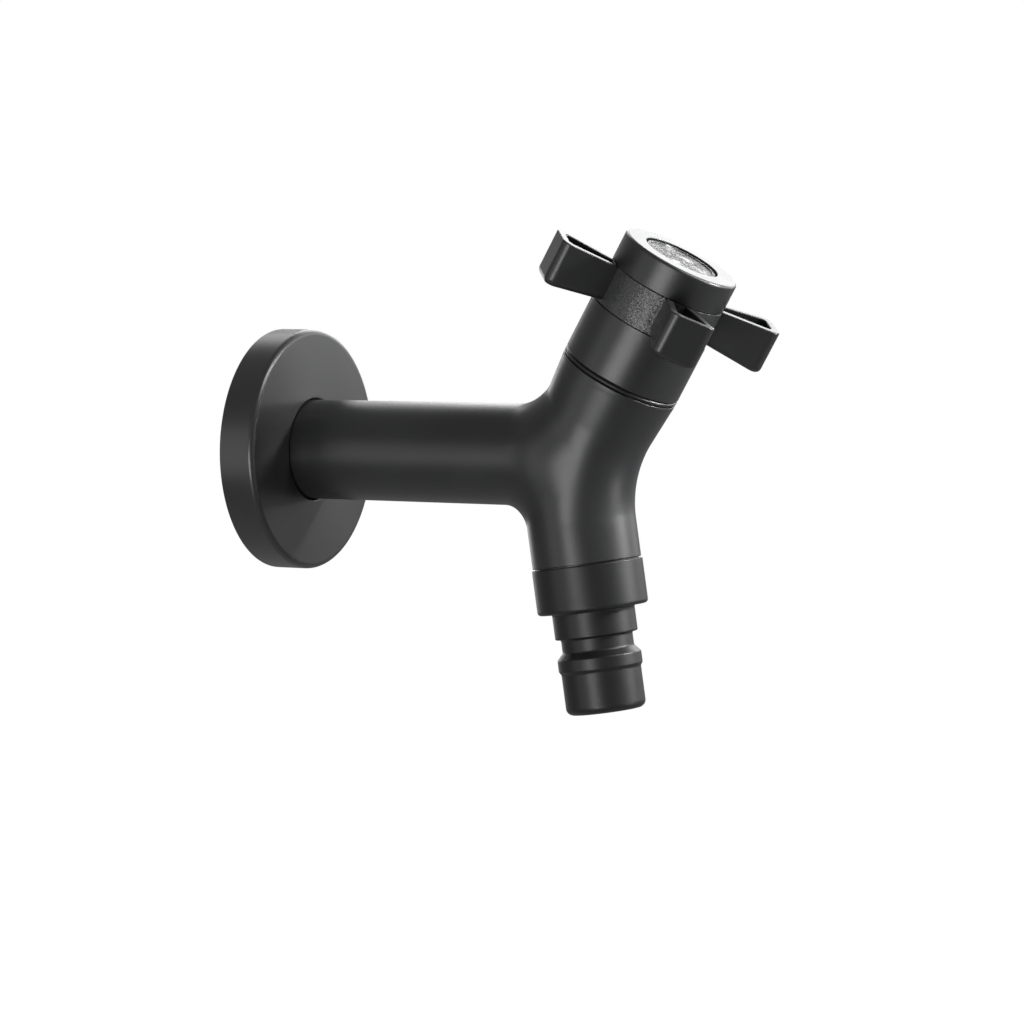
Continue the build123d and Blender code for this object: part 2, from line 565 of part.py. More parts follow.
def handle_cap_ring():
    """The round cap on the hub's spigot, with a ledge that carries the index disc."""
    ledge_bottom = HUB_TOP + CAP_SPIGOT_HEIGHT + LOOSE_CLEARANCE
    cap = turned([
        (CAP_BORE_RADIUS, HUB_TOP), (CAP_RADIUS, HUB_TOP), (CAP_RADIUS, CAP_TOP),
        (INDEX_BORE_RADIUS, CAP_TOP), (INDEX_BORE_RADIUS, INDEX_SEAT), (CAP_LEDGE_RADIUS, INDEX_SEAT),
        (CAP_LEDGE_RADIUS, ledge_bottom), (CAP_BORE_RADIUS, ledge_bottom)])
    cap = fillet(edges_at(cap, CAP_RADIUS, CAP_TOP), CAP_ROUNDING)
    cap = fillet(edges_at(cap, CAP_RADIUS, HUB_TOP) + edges_at(cap, INDEX_BORE_RADIUS, CAP_TOP),
                 EDGE_ROUNDING / 2)
    return BONNET * cap


def index_disc():
    """The plain silver disc in the cap, with a groove for its ring."""
    disc = rod(INDEX_RADIUS, INDEX_SEAT, INDEX_SEAT + INDEX_THICKNESS)
    disc = chamfer(edges_at(disc, INDEX_RADIUS, INDEX_SEAT + INDEX_THICKNESS), EDGE_ROUNDING / 2)
    ring_height = INDEX_SEAT + INDEX_THICKNESS / 2
    groove_radius = INDEX_BORE_RADIUS - INDEX_RING_WIRE - 2 * SEAL_CLEARANCE
    disc -= tube(groove_radius, 2 * INDEX_RADIUS, ring_height - INDEX_RING_WIRE / 2 - SEAL_CLEARANCE,
                 ring_height + INDEX_RING_WIRE / 2 + SEAL_CLEARANCE)
    return BONNET * disc


def index_o_ring():
    """The dark ring that holds the index disc in the cap."""
    middle = INDEX_BORE_RADIUS - SEAL_CLEARANCE - INDEX_RING_WIRE / 2
    return BONNET * wire_ring(middle, INDEX_RING_WIRE, INDEX_SEAT + INDEX_THICKNESS / 2)


def hose_adaptor():
    """The outlet fitting: threaded collar, step, groove, ridge and nose for a quick-fit hose coupling."""
    ridge_top = GROOVE_BOTTOM + RIDGE_SHOULDER
    adaptor = turned([
        (THREAD_BORE_RADIUS, COLLAR_TOP), (COLLAR_RADIUS, COLLAR_TOP), (COLLAR_RADIUS, COLLAR_BOTTOM),
        (STEP_RADIUS, COLLAR_BOTTOM), (STEP_RADIUS, STEP_BOTTOM), (GROOVE_RADIUS, STEP_BOTTOM),
        (GROOVE_RADIUS, GROOVE_BOTTOM), (RIDGE_RADIUS, ridge_top), (RIDGE_RADIUS, RIDGE_BOTTOM),
        (NOSE_RADIUS, RIDGE_BOTTOM), (NOSE_RADIUS, NOSE_BOTTOM), (NOSE_BORE_RADIUS, NOSE_BOTTOM),
        (NOSE_BORE_RADIUS, NOSE_BORE_TOP), (NOZZLE_BORE_RADIUS, NOSE_BORE_TOP),
        (NOZZLE_BORE_RADIUS, ADAPTOR_SHOULDER), (THREAD_BORE_RADIUS, ADAPTOR_SHOULDER)])
    adaptor = fillet(edges_at(adaptor, COLLAR_RADIUS, COLLAR_BOTTOM), COLLAR_ROUNDING)
    adaptor = fillet(edges_at(adaptor, NOSE_RADIUS, NOSE_BOTTOM), NOSE_ROUNDING)
    small = (edges_at(adaptor, COLLAR_RADIUS, COLLAR_TOP) + edges_at(adaptor, STEP_RADIUS, STEP_BOTTOM)
             + edges_at(adaptor, RIDGE_RADIUS, ridge_top) + edges_at(adaptor, RIDGE_RADIUS, RIDGE_BOTTOM))
    adaptor = fillet(small, EDGE_ROUNDING / 2)
    return OUTLET * adaptor


def outlet_washer():
    """The flat washer between the spigot's end and the adaptor's shoulder."""
    return OUTLET * tube(OUTLET_BORE_RADIUS, THREAD_RADIUS - SEAL_CLEARANCE, SPIGOT_END, ADAPTOR_SHOULDER)


def straightener_seal():
    """The rubber ring above the flow straightener."""
    outer = NOSE_BORE_RADIUS - SEAL_CLEARANCE
    return OUTLET * tube(outer - STRAIGHTENER_SEAL_WIDTH, outer, NOSE_BORE_TOP, STRAIGHTENER_TOP)


def flow_straightener():
    """The drilled insert in the nose that gives the water an even stream."""
    bottom = STRAIGHTENER_TOP + STRAIGHTENER_THICKNESS
    insert = rod(NOSE_BORE_RADIUS - SEAL_CLEARANCE, STRAIGHTENER_TOP, bottom)
    hole = rod(STRAIGHTENER_HOLE_RADIUS, STRAIGHTENER_TOP, bottom)
    for ring, count in enumerate(STRAIGHTENER_HOLE_COUNTS):
        for number in range(count):
            insert -= Rot(0, 0, number * 360 / count) * Pos(ring * STRAIGHTENER_CIRCLE_STEP, 0, 0) * hole
    return OUTLET * insert


def pieces():
    """Return every piece of the tap by its name."""
    return {
        "tap_body": tap_body(),
        "wall_flange": wall_flange(),
        "flange_o_ring": flange_o_ring(),
        "cartridge_housing": cartridge_housing(),
        "cartridge_o_ring": cartridge_o_ring(),
        "cartridge_seat_seal": cartridge_seat_seal(),
        "ceramic_disc_fixed": ceramic_disc_fixed(),
        "ceramic_disc_rotating": ceramic_disc_rotating(),
        "friction_washer": friction_washer(),
        "spindle": spindle(),
        "spindle_o_ring_lower": spindle_o_ring(SPINDLE_RING_LIFTS[0]),
        "spindle_o_ring_upper": spindle_o_ring(SPINDLE_RING_LIFTS[1]),
        "spindle_clip": spindle_clip(),
        "bonnet_ring": bonnet_ring(),
        "bonnet_sleeve": bonnet_sleeve(),
        "handle_cross": handle_cross(),
        "handle_insert": handle_insert(),
        "screw_washer": screw_washer(),
        "handle_screw": handle_screw(),
        "handle_cap_ring": handle_cap_ring(),
        "index_disc": index_disc(),
        "index_o_ring": index_o_ring(),
        "hose_adaptor": hose_adaptor(),
        "outlet_washer": outlet_washer(),
        "straightener_seal": straightener_seal(),
        "flow_straightener": flow_straightener(),
    }


os.makedirs("parts", exist_ok=True)
for name, piece in pieces().items():
    export_step(piece, f"parts/{name}.step")
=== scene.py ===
"""A wall-mounted garden tap in satin black: the pieces that show, their finishes, and a small studio.

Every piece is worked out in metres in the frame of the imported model. X runs out of the wall along the inlet
pipe, Z is up, and the tap's branches lie in the XZ plane. A piece is drawn about the axis of its branch, with
angles counted from the front (-Y).
"""

import json
import math
from functools import partial, wraps

import bmesh
import bpy
import numpy as np
from mathutils import Matrix, Vector


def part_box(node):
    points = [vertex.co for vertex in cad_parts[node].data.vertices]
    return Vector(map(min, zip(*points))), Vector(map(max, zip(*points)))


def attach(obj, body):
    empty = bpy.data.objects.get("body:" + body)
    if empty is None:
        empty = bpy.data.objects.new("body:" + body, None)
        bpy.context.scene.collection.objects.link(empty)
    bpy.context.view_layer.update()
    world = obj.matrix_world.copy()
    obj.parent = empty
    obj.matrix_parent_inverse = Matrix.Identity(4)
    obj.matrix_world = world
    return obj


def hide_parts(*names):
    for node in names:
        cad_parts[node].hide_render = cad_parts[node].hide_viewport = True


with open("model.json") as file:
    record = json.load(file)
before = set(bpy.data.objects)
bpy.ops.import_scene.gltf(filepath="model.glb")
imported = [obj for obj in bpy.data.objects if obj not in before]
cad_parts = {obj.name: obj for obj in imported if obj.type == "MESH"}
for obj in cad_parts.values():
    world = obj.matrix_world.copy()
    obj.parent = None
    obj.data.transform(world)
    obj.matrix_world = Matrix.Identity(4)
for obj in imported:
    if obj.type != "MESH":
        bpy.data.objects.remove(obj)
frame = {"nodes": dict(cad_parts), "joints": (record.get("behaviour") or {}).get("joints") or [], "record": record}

bl_info = {
    "name": "Garden Tap",
    "version": (1, 0, 0),
    "blender": (4, 5, 0),
    "location": "View3D > Sidebar > Garden Tap",
    "description": "Builds the visible pieces, finishes and studio of a wall-mounted garden tap",
    "category": "Add Mesh",
}

MM = 0.001
TURN = 2 * math.pi
GOLDEN_ANGLE = math.pi * (3 - math.sqrt(5))
AROUND = 192                # points round every turned surface
BODY_ROWS = 34              # rings of each arm of the casting, from its seams to its straight end
DISC_RINGS = 72             # rings of the index disc's hammered middle
PIPE_RINGS = (50 * MM, 20 * MM, 3 * MM)     # where rings lie along the straight pipe
PIPE_BLEND = 52 * MM        # where the straight pipe begins to swell into the body
REST = 1.2 * MM             # from a branch's rim back to the ring where its straight end begins
GAP_FILL = 0.14 * MM        # how far the sleeve and the hub each reach into the gap between them
GUARD = 0.1 * MM            # from a rounding to the guard point that keeps the side next to it flat
BOX_SPARE = 1.2 * MM        # how far a piece may stand out of its solid's box


def mesh_points(mesh):
    """Return a mesh's points as an array."""
    points = np.empty(len(mesh.vertices) * 3)
    mesh.vertices.foreach_get("co", points)
    return points.reshape(-1, 3)


class Branch:
    """A straight axis of the tap, with the directions across it towards the front and towards the side."""

    def __init__(self, origin, along):
        self.origin = np.array(origin, float)
        self.along = np.array(along, float) / np.linalg.norm(along)
        self.front = np.array((0.0, -1.0, 0.0))
        self.side = np.cross(self.along, self.front)

    def at(self, height):
        """Return the point of the axis at a height."""
        return self.origin + height * self.along

    def place(self, radius, angle, height):
        """Return points: the axis at a height, plus a radius times cos front and sin side of an angle."""
        radius, angle, height = np.broadcast_arrays(radius, angle, height)
        across = np.cos(angle)[..., None] * self.front + np.sin(angle)[..., None] * self.side
        return self.origin + height[..., None] * self.along + radius[..., None] * across

    def reach(self, node):
        """Return a CAD node's largest radius about the axis and its lowest and highest place along it."""
        offset = mesh_points(frame["nodes"][node].data) - self.origin
        height = offset @ self.along
        radius = np.linalg.norm(offset - height[:, None] * self.along, axis=1)
        return float(radius.max()), float(height.min()), float(height.max())


def outlet_branch():
    """Return the branch along the hose nose's axis, counted from where that crosses the inlet pipe's axis."""
    mount = next(m for m in frame["record"]["mounts"] if m["name"] == "hose_nose")
    place, axis = np.array(mount["pos_m"], float), np.array(mount["axis"], float)
    return Branch(place - axis * place[2] / axis[2], axis)


HINGE = next(j for j in frame["joints"] if j["name"] == "handle_turn")
INLET = Branch((0, 0, 0), (1, 0, 0))
BONNET = Branch(HINGE["pos_m"], HINGE["axis"])
OUTLET = outlet_branch()

BONNET_RADIUS, BODY_SEAT, RING_TOP = BONNET.reach("bonnet_ring")
SLEEVE_TOP = BONNET.reach("bonnet_sleeve")[2]
HUB_BOTTOM = BONNET.reach("handle_cross")[1]
CAP_RADIUS, HUB_TOP, CAP_TOP = BONNET.reach("handle_cap_ring")
INDEX_RADIUS, INDEX_SEAT, INDEX_TOP = BONNET.reach("index_disc")
COLLAR_RADIUS, COLLAR_TOP, NOSE_END = OUTLET.reach("hose_adaptor")
SPIGOT_END = OUTLET.reach("outlet_washer")[1]
FLANGE_RADIUS, FLANGE_BACK, FLANGE_FRONT = INLET.reach("wall_flange")
THREAD_END = INLET.reach("tap_body")[1]


# Settings


def quantity(description, value, **options):
    """Return a number property, which named() still has to name."""
    return partial(bpy.props.FloatProperty, description=description, default=value, **options)


def length(description, millimetres):
    """Return a length property with its default in millimetres."""
    return quantity(description, millimetres * MM, min=0.0, precision=5, unit="LENGTH")


def angle(description, degrees):
    """Return an angle property with its default in degrees."""
    return quantity(description, math.radians(degrees), subtype="ANGLE", unit="ROTATION")


def share(description, value):
    """Return a property between 0 and 1."""
    return quantity(description, value, min=0.0, max=1.0, subtype="FACTOR")


def colour(description, *value):
    """Return a colour property."""
    return partial(bpy.props.FloatVectorProperty, description=description, default=value, min=0.0, max=1.0, size=3,
                   subtype="COLOR")


def named(group):
    """Make a group's properties, each with a name after its key, such as Pipe radius after pipe_radius."""
    for key, make in group.__annotations__.items():
        group.__annotations__[key] = make(name=key.replace("_", " ").capitalize())
    return group


@named
class TapBodySettings(bpy.types.PropertyGroup):
    """Sizes of the casting."""

    pipe_radius: length("Outside of the inlet pipe", 12.0)
    pipe_start: length("Where the pipe ends and its thread begins", 2.0)
    waist_radius: length("Outside of the body where the branches meet", 13.5)
    foot_radius: length("Outside of the lower branch", 12.76)
    bend_radius: length("Radius of the bend between the two branches", 37.0)
    crotch_radius: length("Radius of the blend where the pipe meets the branches", 6.0)
    edge_radius: length("Rounding of the casting's machined edges", 0.2)
    collar_gap: length("Dark gap between the lower branch and the adaptor's collar", 0.41)
    gap_depth: length("How far in a ring closes that gap", 0.6)
    thread_radius: length("Half-inch pipe thread over its crests", 10.4775)
    thread_pitch: length("Distance between neighbouring turns", 1.8143)
    thread_depth: length("Height of the thread's teeth", 1.162)
    inlet_bore: length("Radius of the water way in the pipe", 7.5)
    inlet_bore_end: length("Where that water way begins to narrow", 58.0)
    feed_bore: length("Radius of the feed to the valve", 4.5)
    feed_start: length("Where the feed begins", 60.0)
    feed_end: length("Where the feed ends", 68.0)
    valve_bore: length("Radius of the hole that takes the valve", 10.5075)
    valve_floor: length("Height of the step under the valve's thread", 13.2)
    chamber_radius: length("Radius of the chamber under the valve's thread", 9.3)
    chamber_floor: length("Height of the chamber's floor", 4.0)
    seat_hole: length("Radius of the hole in the chamber's floor", 4.0)
    seat_hole_depth: length("Depth of that hole", 4.6)
    outlet_bore: length("Radius of the water way in the lower branch", 6.5)
    outlet_bore_top: length("Height at which that water way ends", 9.5)


@named
class TapFlangeSettings(bpy.types.PropertyGroup):
    """Sizes of the wall flange."""

    wall: length("Thickness of the flange's rim", 1.6)
    face: length("Thickness of the flange's front", 2.0)
    front_rounding: length("Rounding of the front edge", 1.3)
    bore_radius: length("Hole for the pipe", 12.3)
    boss_radius: length("Outside of the boss behind the face", 15.4)
    boss_depth: length("How far the boss reaches back", 5.0)
    groove_radius: length("Bottom of the groove for the ring", 13.74)
    groove_width: length("Width of the groove for the ring", 1.9)


@named
class TapHandleSettings(bpy.types.PropertyGroup):
    """Sizes of the bonnet, the cross handle and its cap."""

    bead_bevel: length("How far the bead under the sleeve falls back at its edges", 0.42)
    sleeve_wall: length("Thickness of the sleeve", 1.5)
    sleeve_lip: length("Thickness of the sleeve's inner lip", 2.0)
    neck_radius: length("Hole of the sleeve's lip", 9.23)
    hub_radius: length("Outside of the hub between the arms", 14.0)
    hub_bore: length("Hole for the brass bush", 6.5)
    hub_recess: length("Radius of the recess under the hub", 10.2)
    hub_recess_depth: length("Depth of the recess under the hub", 2.2)
    spigot_radius: length("Spigot on which the cap sits", 11.4)
    spigot_height: length("Height of the cap's spigot", 2.6)
    cross_turn: angle("Angle of the first arm from the front", 40.4)
    arm_count: partial(bpy.props.IntProperty, description="Number of arms", default=4, min=2, max=8)
    arm_start: length("Where an arm begins inside the hub", 11.0)
    arm_reach: length("From the axis to an arm's end", 28.3)
    arm_rise: length("How far an arm's rim rises from the cap to its end", 0.95)
    arm_width: length("Width of an arm at its end", 11.8)
    arm_root: length("Width of an arm where it leaves the hub", 7.2)
    arm_lift: length("How far an arm's underside lies above the hub's at the hub", 0.45)
    arm_drop: length("How far an arm's underside lies below the hub's at the arm's end", 0.85)
    arm_wall: length("Thickness of an arm's walls", 1.9)
    arm_floor: length("Thickness of an arm's floor", 1.2)
    arm_corner: length("Rounding of an arm's upright corners", 2.5)
    arm_edge: length("Rounding of an arm's lower edge", 1.5)
    rim_edge: length("Rounding of an arm's rim", 0.28)
    cap_rounding: length("Rounding of the cap's top edge", 0.75)
    cap_bore: length("Hole of the cap over its spigot", 11.45)
    cap_ledge: length("Hole under the index disc", 7.2)
    index_bore: length("Hole in which the index disc lies", 9.1)
    index_groove: length("Bottom of the groove for the ring round the disc", 8.36)
    index_rim: length("Width of the index disc's smooth rim", 0.75)
    index_dish: length("Depth of the disc's hammered middle", 0.22)
    dimple_radius: length("Size of a hammer mark", 0.95)
    dimple_depth: length("Depth of a hammer mark", 0.11)


@named
class TapNozzleSettings(bpy.types.PropertyGroup):
    """Sizes of the hose adaptor."""

    collar_height: length("Height of the collar", 10.5)
    collar_rounding: length("Rounding of the collar's lower edge", 0.9)
    step_radius: length("Outside of the step under the collar", 9.7)
    step_height: length("Height of the step", 6.1)
    groove_radius: length("Bottom of the groove for a coupling", 8.4)
    groove_height: length("Height of the groove", 3.2)
    ridge_radius: length("Outside of the ridge", 9.85)
    ridge_shoulder: length("Height of the ridge's cone", 1.6)
    ridge_height: length("Height of the ridge", 3.0)
    nose_radius: length("Outside of the nose", 9.35)
    nose_rounding: length("Rounding of the nose's end", 1.7)
    edge_radius: length("Rounding of the other edges", 0.4)
    collar_rise: length("How far the collar's top rises into the gap above it", 0.09)
    ridge_slope: length("Half the height of the slope from the ridge to the nose", 0.4)
    thread_bore: length("Hole over the body's spigot", 10.5075)
    bore_radius: length("Water way", 6.0)
    insert_bore: length("Hole for the flow straightener", 7.05)
    insert_depth: length("Depth of that hole", 6.5)
    washer_thickness: length("Washer between the spigot and the shoulder", 1.6)


@named
class TapFinishSettings(bpy.types.PropertyGroup):
    """Colours and textures."""

    coat_colour: colour("The black powder coat", 0.0132, 0.0136, 0.0144)
    coat_roughness: share("Roughness of the powder coat", 0.37)
    coat_specular: share("Strength of the coat's reflection", 0.5)
    coat_grain: length("Size of the coat's fine grain", 0.4)
    nozzle_colour: colour("The hose adaptor's darker coat", 0.0045, 0.0047, 0.0052)
    nozzle_roughness: share("Roughness of the adaptor's coat", 0.41)
    nozzle_specular: share("Strength of the adaptor's reflection", 0.4)
    flange_colour: colour("The flange's coat", 0.013, 0.0132, 0.0138)
    flange_roughness: share("Roughness of the flange's coat", 0.33)
    flange_specular: share("Strength of the flange's reflection", 0.6)
    hub_colour: colour("The sanded black of the hub", 0.020, 0.0205, 0.021)
    hub_grain: length("Size of the hub's sand texture", 0.17)
    silver_colour: colour("The index disc", 0.30, 0.30, 0.308)
    brass_colour: colour("The valve's brass", 0.72, 0.52, 0.24)
    steel_colour: colour("Screw, washer and clip", 0.60, 0.60, 0.62)
    rubber_colour: colour("Seals", 0.014, 0.014, 0.014)
    ceramic_colour: colour("Valve discs", 0.88, 0.87, 0.83)
    slip_colour: colour("The slippery washer on the spindle", 0.80, 0.80, 0.76)
    insert_colour: colour("The flow straightener", 0.045, 0.046, 0.048)


@named
class TapStudioSettings(bpy.types.PropertyGroup):
    """Camera, light and floor."""

    azimuth: angle("Turn of the camera about the tap, from straight in front", 27.14)
    elevation: angle("Height of the camera above the horizon", 3.78)
    roll: angle("Turn of the camera about its own axis", 0.08)
    distance: length("From the camera to the plane of the pipe's start", 795.0)
    focal_length: quantity("Focal length over the picture's width", 3.182, min=0.1)
    origin_x: share("Where the pipe's start lies in the picture, from the left", 283.0 / 1024)
    origin_y: share("Where the pipe's start lies in the picture, from the top", 448.5 / 1024)
    floor_drop: length("From the pipe down to the floor", 1000.0)
    floor_side: length("Side of the square floor", 12000.0)
    floor_colour: colour("The lit part of the floor's look", 0.30, 0.30, 0.30)
    floor_white: share("How far the floor looks plain white", 0.85)
    floor_glow: quantity("Strength of that white", 1.2, min=0.0)
    room_light: share("Brightness of the room all round", 0.12)
    mirrored_white: share("How bright the white surroundings are in reflections", 0.24)


# Shapes


def rounded_outline(corners, steps=6):
    """Return an outline whose corners are rounded.

    Each corner is (radius, height, rounding). A rounding r between sides that meet at an angle w is an arc that
    starts r / tan(w / 2) before the corner and ends as far behind it. A guard point just outside each end of
    the arc keeps the shading of the long sides flat.
    """
    points = np.array([corner[:2] for corner in corners], float)
    outline = []
    for index, corner in enumerate(points):
        rounding = corners[index][2]
        if rounding == 0:
            outline.append(corner)
            continue
        before = points[index - 1] - corner
        behind = points[(index + 1) % len(points)] - corner
        before /= np.linalg.norm(before)
        behind /= np.linalg.norm(behind)
        half = math.acos(np.clip(before @ behind, -1, 1)) / 2
        cut = rounding / math.tan(half)
        middle = corner + (before + behind) / np.linalg.norm(before + behind) * rounding / math.sin(half)
        start, end = corner + before * cut - middle, corner + behind * cut - middle
        sweep = math.pi - 2 * half
        guard = min(0.3 * rounding, GUARD)
        outline.append(corner + before * (cut + guard))
        for part in np.linspace(0, 1, steps + 1):
            arc = (math.sin((1 - part) * sweep) * start + math.sin(part * sweep) * end) / math.sin(sweep)
            outline.append(middle + arc)
        outline.append(corner + behind * (cut + guard))
    return np.array(outline)


def angles():
    """Return the angles of a ring's points as a row."""
    return np.arange(AROUND)[None, :] * (TURN / AROUND)


def ring_faces(rows, around, joined=False):
    """Return quads between neighbouring rings of a grid, the last ring joining the first if joined."""
    row = np.arange(rows if joined else rows - 1)[:, None]
    column = np.arange(around)[None, :]
    next_row = (row + 1) % rows
    next_column = (column + 1) % around
    corners = (row * around + column, row * around + next_column,
               next_row * around + next_column, next_row * around + column)
    return np.stack(np.broadcast_arrays(*corners), -1).reshape(-1, 4)


class Shell:
    """Points and faces that are gathered for one mesh."""

    def __init__(self):
        self.points = []
        self.faces = []
        self.finishes = []
        self.count = 0

    def grid(self, points, joined=False, finish=0, lids=False):
        """Add a grid of rings, closed by flat lids at its ends if asked."""
        rows, around = points.shape[:2]
        quads = ring_faces(rows, around, joined) + self.count
        self.faces += quads.tolist()
        self.finishes += [finish] * len(quads)
        if lids:
            self.faces.append(list(range(self.count, self.count + around)))
            self.faces.append(list(range(self.count + (rows - 1) * around, self.count + rows * around)))
            self.finishes += [finish, finish]
        self.points.append(points.reshape(-1, 3))
        self.count += rows * around

    def mesh(self, name, sharp=math.radians(34)):
        """Return the closed mesh: doubles merged, normals outward, smooth but for sharp edges."""
        mesh = bpy.data.meshes.new(name)
        mesh.from_pydata(np.concatenate(self.points).tolist(), [], self.faces)
        mesh.polygons.foreach_set("material_index", self.finishes)
        work = bmesh.new()
        work.from_mesh(mesh)
        bmesh.ops.remove_doubles(work, verts=work.verts, dist=2e-7)
        bmesh.ops.dissolve_degenerate(work, edges=work.edges, dist=1e-8)
        bmesh.ops.recalc_face_normals(work, faces=work.faces)
        loose = [edge for edge in work.edges if not edge.is_manifold]
        if loose:
            raise RuntimeError(f"{name} has {len(loose)} open edges")
        work.to_mesh(mesh)
        work.free()
        mesh.polygons.foreach_set("use_smooth", [True] * len(mesh.polygons))
        mesh.set_sharp_from_angle(angle=sharp)
        return mesh


def outline_rows(corners):
    """Return a rounded outline as a column of radii and one of heights. Corners without rounding stay sharp."""
    outline = rounded_outline(corners)
    return outline[:, :1], outline[:, 1:]


def turned(branch, *parts):
    """Return one grid of outlines and grids of (radii, heights), carried one after another round a branch's axis."""
    radii, heights = (np.concatenate([np.broadcast_to(part[side], (len(part[side]), AROUND)) for part in parts])
                      for side in (0, 1))
    return branch.place(radii, angles(), heights)


def add_piece(name, shell, body, finishes, node):
    """Add a shell as a piece that rides on a body and replaces a CAD node. It may pass its box by BOX_SPARE."""
    mesh = shell.mesh(name)
    piece = bpy.data.objects.new(name, mesh)
    bpy.context.scene.collection.objects.link(piece)
    for finish in finishes:
        mesh.materials.append(finish)
    points = mesh_points(mesh)
    low, high = np.array(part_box(node))
    if (points.min(0) < low - BOX_SPARE).any() or (points.max(0) > high + BOX_SPARE).any():
        raise RuntimeError(f"{name} is larger than the solid it stands for")
    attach(piece, body)
    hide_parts(node)


def turned_piece(name, branch, corners, body, finishes, node):
    """Add a piece turned from a closed outline of rounded corners."""
    shell = Shell()
    shell.grid(turned(branch, outline_rows(corners)), joined=True)
    add_piece(name, shell, body, finishes, node)


# Casting


class BodySurface:
    """The casting's outside: a pipe and a bent tapering tube, blended by a fillet.

    The pipe's field is the distance to its axis less its radius. The tube's field is the distance to its centre
    line (two straight branches joined by an arc) less a radius that changes along it. The blend of two fields a
    and b with a fillet of radius r is max(r, min(a, b)) less the length of (max(r - a, 0), max(r - b, 0)).
    """

    MIDDLE_SHIFT = np.array((0.4, 1.2)) * MM    # from the corner of the branches' axes to where the seams meet
    PIPE_STOP = 7 * MM                          # how far before that point the pipe's axis ends
    SEAM_REACH = 32 * MM                        # a distance from that point that is surely outside

    def __init__(self, sizes):
        self.sizes = sizes
        up, down = BONNET.along[[0, 2]], OUTLET.along[[0, 2]]
        gap = OUTLET.origin[0] - BONNET.origin[0]
        climb = gap * down[1] / (up[0] * down[1] - up[1] * down[0])
        corner = BONNET.origin[[0, 2]] + climb * up
        bend = math.pi - math.acos(up @ down)
        tangent = sizes.bend_radius * math.tan(bend / 2)
        self.up, self.down = up, down
        self.upper_start = corner + up * tangent
        self.lower_start = corner + down * tangent
        across = np.array((up[1], -up[0]))
        self.centre = self.upper_start + across * sizes.bend_radius
        self.bend = bend
        self.upper_length = (BONNET.at(BODY_SEAT)[[0, 2]] - self.upper_start) @ up
        self.middle = corner + self.MIDDLE_SHIFT
        self.pipe_end = self.middle[0] - self.PIPE_STOP

    def tube_field(self, points):
        """Distance outside the bent tube."""
        sizes = self.sizes
        flat = points[..., [0, 2]]
        above = (flat - self.upper_start) @ self.up
        below = (flat - self.lower_start) @ self.down
        spoke = flat - self.centre
        reach = np.linalg.norm(spoke, axis=-1)
        first = self.upper_start - self.centre
        cross = spoke[..., 0] * first[1] - spoke[..., 1] * first[0]
        swept = np.abs(np.arctan2(cross, spoke @ first)) / self.bend
        side_up = np.abs((flat - self.upper_start) @ np.array((self.up[1], -self.up[0])))
        side_down = np.abs((flat - self.lower_start) @ np.array((self.down[1], -self.down[0])))
        offset = np.where(above > 0, side_up, np.where(below > 0, side_down, np.abs(reach - sizes.bend_radius)))
        waist, foot = sizes.waist_radius, sizes.foot_radius
        radius = np.where(above > 0, waist + (BONNET_RADIUS - waist) * above / self.upper_length,
                          np.where(below > 0, foot, waist + (foot - waist) * np.clip(swept, 0, 1)))
        return np.hypot(offset, points[..., 1]) - radius

    def pipe_field(self, points):
        """Distance outside the pipe."""
        past = np.maximum(points[..., 0] - self.pipe_end, 0)
        return np.sqrt(points[..., 1] ** 2 + points[..., 2] ** 2 + past ** 2) - self.sizes.pipe_radius

    def field(self, points):
        """Distance outside the blended body."""
        pipe, tube = self.pipe_field(points), self.tube_field(points)
        blend = self.sizes.crotch_radius
        inside = np.hypot(np.maximum(blend - pipe, 0), np.maximum(blend - tube, 0))
        return np.maximum(blend, np.minimum(pipe, tube)) - inside

    def settle(self, points, rounds=8):
        """Move points onto the surface along the field's gradient, by Newton's method."""
        step = 1e-6
        for _ in range(rounds):
            value = self.field(points)
            slope = np.stack([(self.field(points + step * axis) - self.field(points - step * axis)) / (2 * step)
                              for axis in np.eye(3)], -1)
            points = points - (value / np.maximum((slope ** 2).sum(-1), 1e-9))[..., None] * slope
        return points

    def seam(self, direction):
        """Return the surface's points in the half plane through the middle: rays that fan from the front
        (-Y) over a direction to the back (+Y), each met by halving."""
        fan = np.linspace(-math.pi / 2, math.pi / 2, AROUND // 2 + 1)[:, None]
        rays = np.cos(fan) * np.array((direction[0], 0, direction[1])) + np.sin(fan) * np.array((0, 1, 0))
        start = np.array((self.middle[0], 0, self.middle[1]))
        near, far = np.zeros(len(fan)), np.full(len(fan), self.SEAM_REACH)
        for _ in range(50):
            half = (near + far) / 2
            outside = self.field(start + half[:, None] * rays) > 0
            near, far = np.where(outside, near, half), np.where(outside, half, far)
        return start + near[:, None] * rays


def between(first, second):
    """Return the direction halfway between two directions of the XZ plane."""
    middle = first / np.linalg.norm(first) + second / np.linalg.norm(second)
    return middle / np.linalg.norm(middle)


def body_grid(surface, branch, first_seam, second_seam, rest, *end):
    """Return one arm of the casting as a grid from its seams to the bottom of its bore.

    The rows run in straight lines from the seams to a ring at the height rest and settle on the surface. The
    outlines and grids of (radii, heights) in end follow.
    """
    seam = np.concatenate((first_seam[:-1], second_seam[:0:-1]))
    ring = branch.place(surface.sizes.pipe_radius, angles(), rest)[0]
    part = np.linspace(0, 1, BODY_ROWS)[:, None, None]
    blend = surface.settle(seam + (ring - seam) * part)
    blend[0] = seam
    return np.concatenate((blend, turned(branch, *end)))


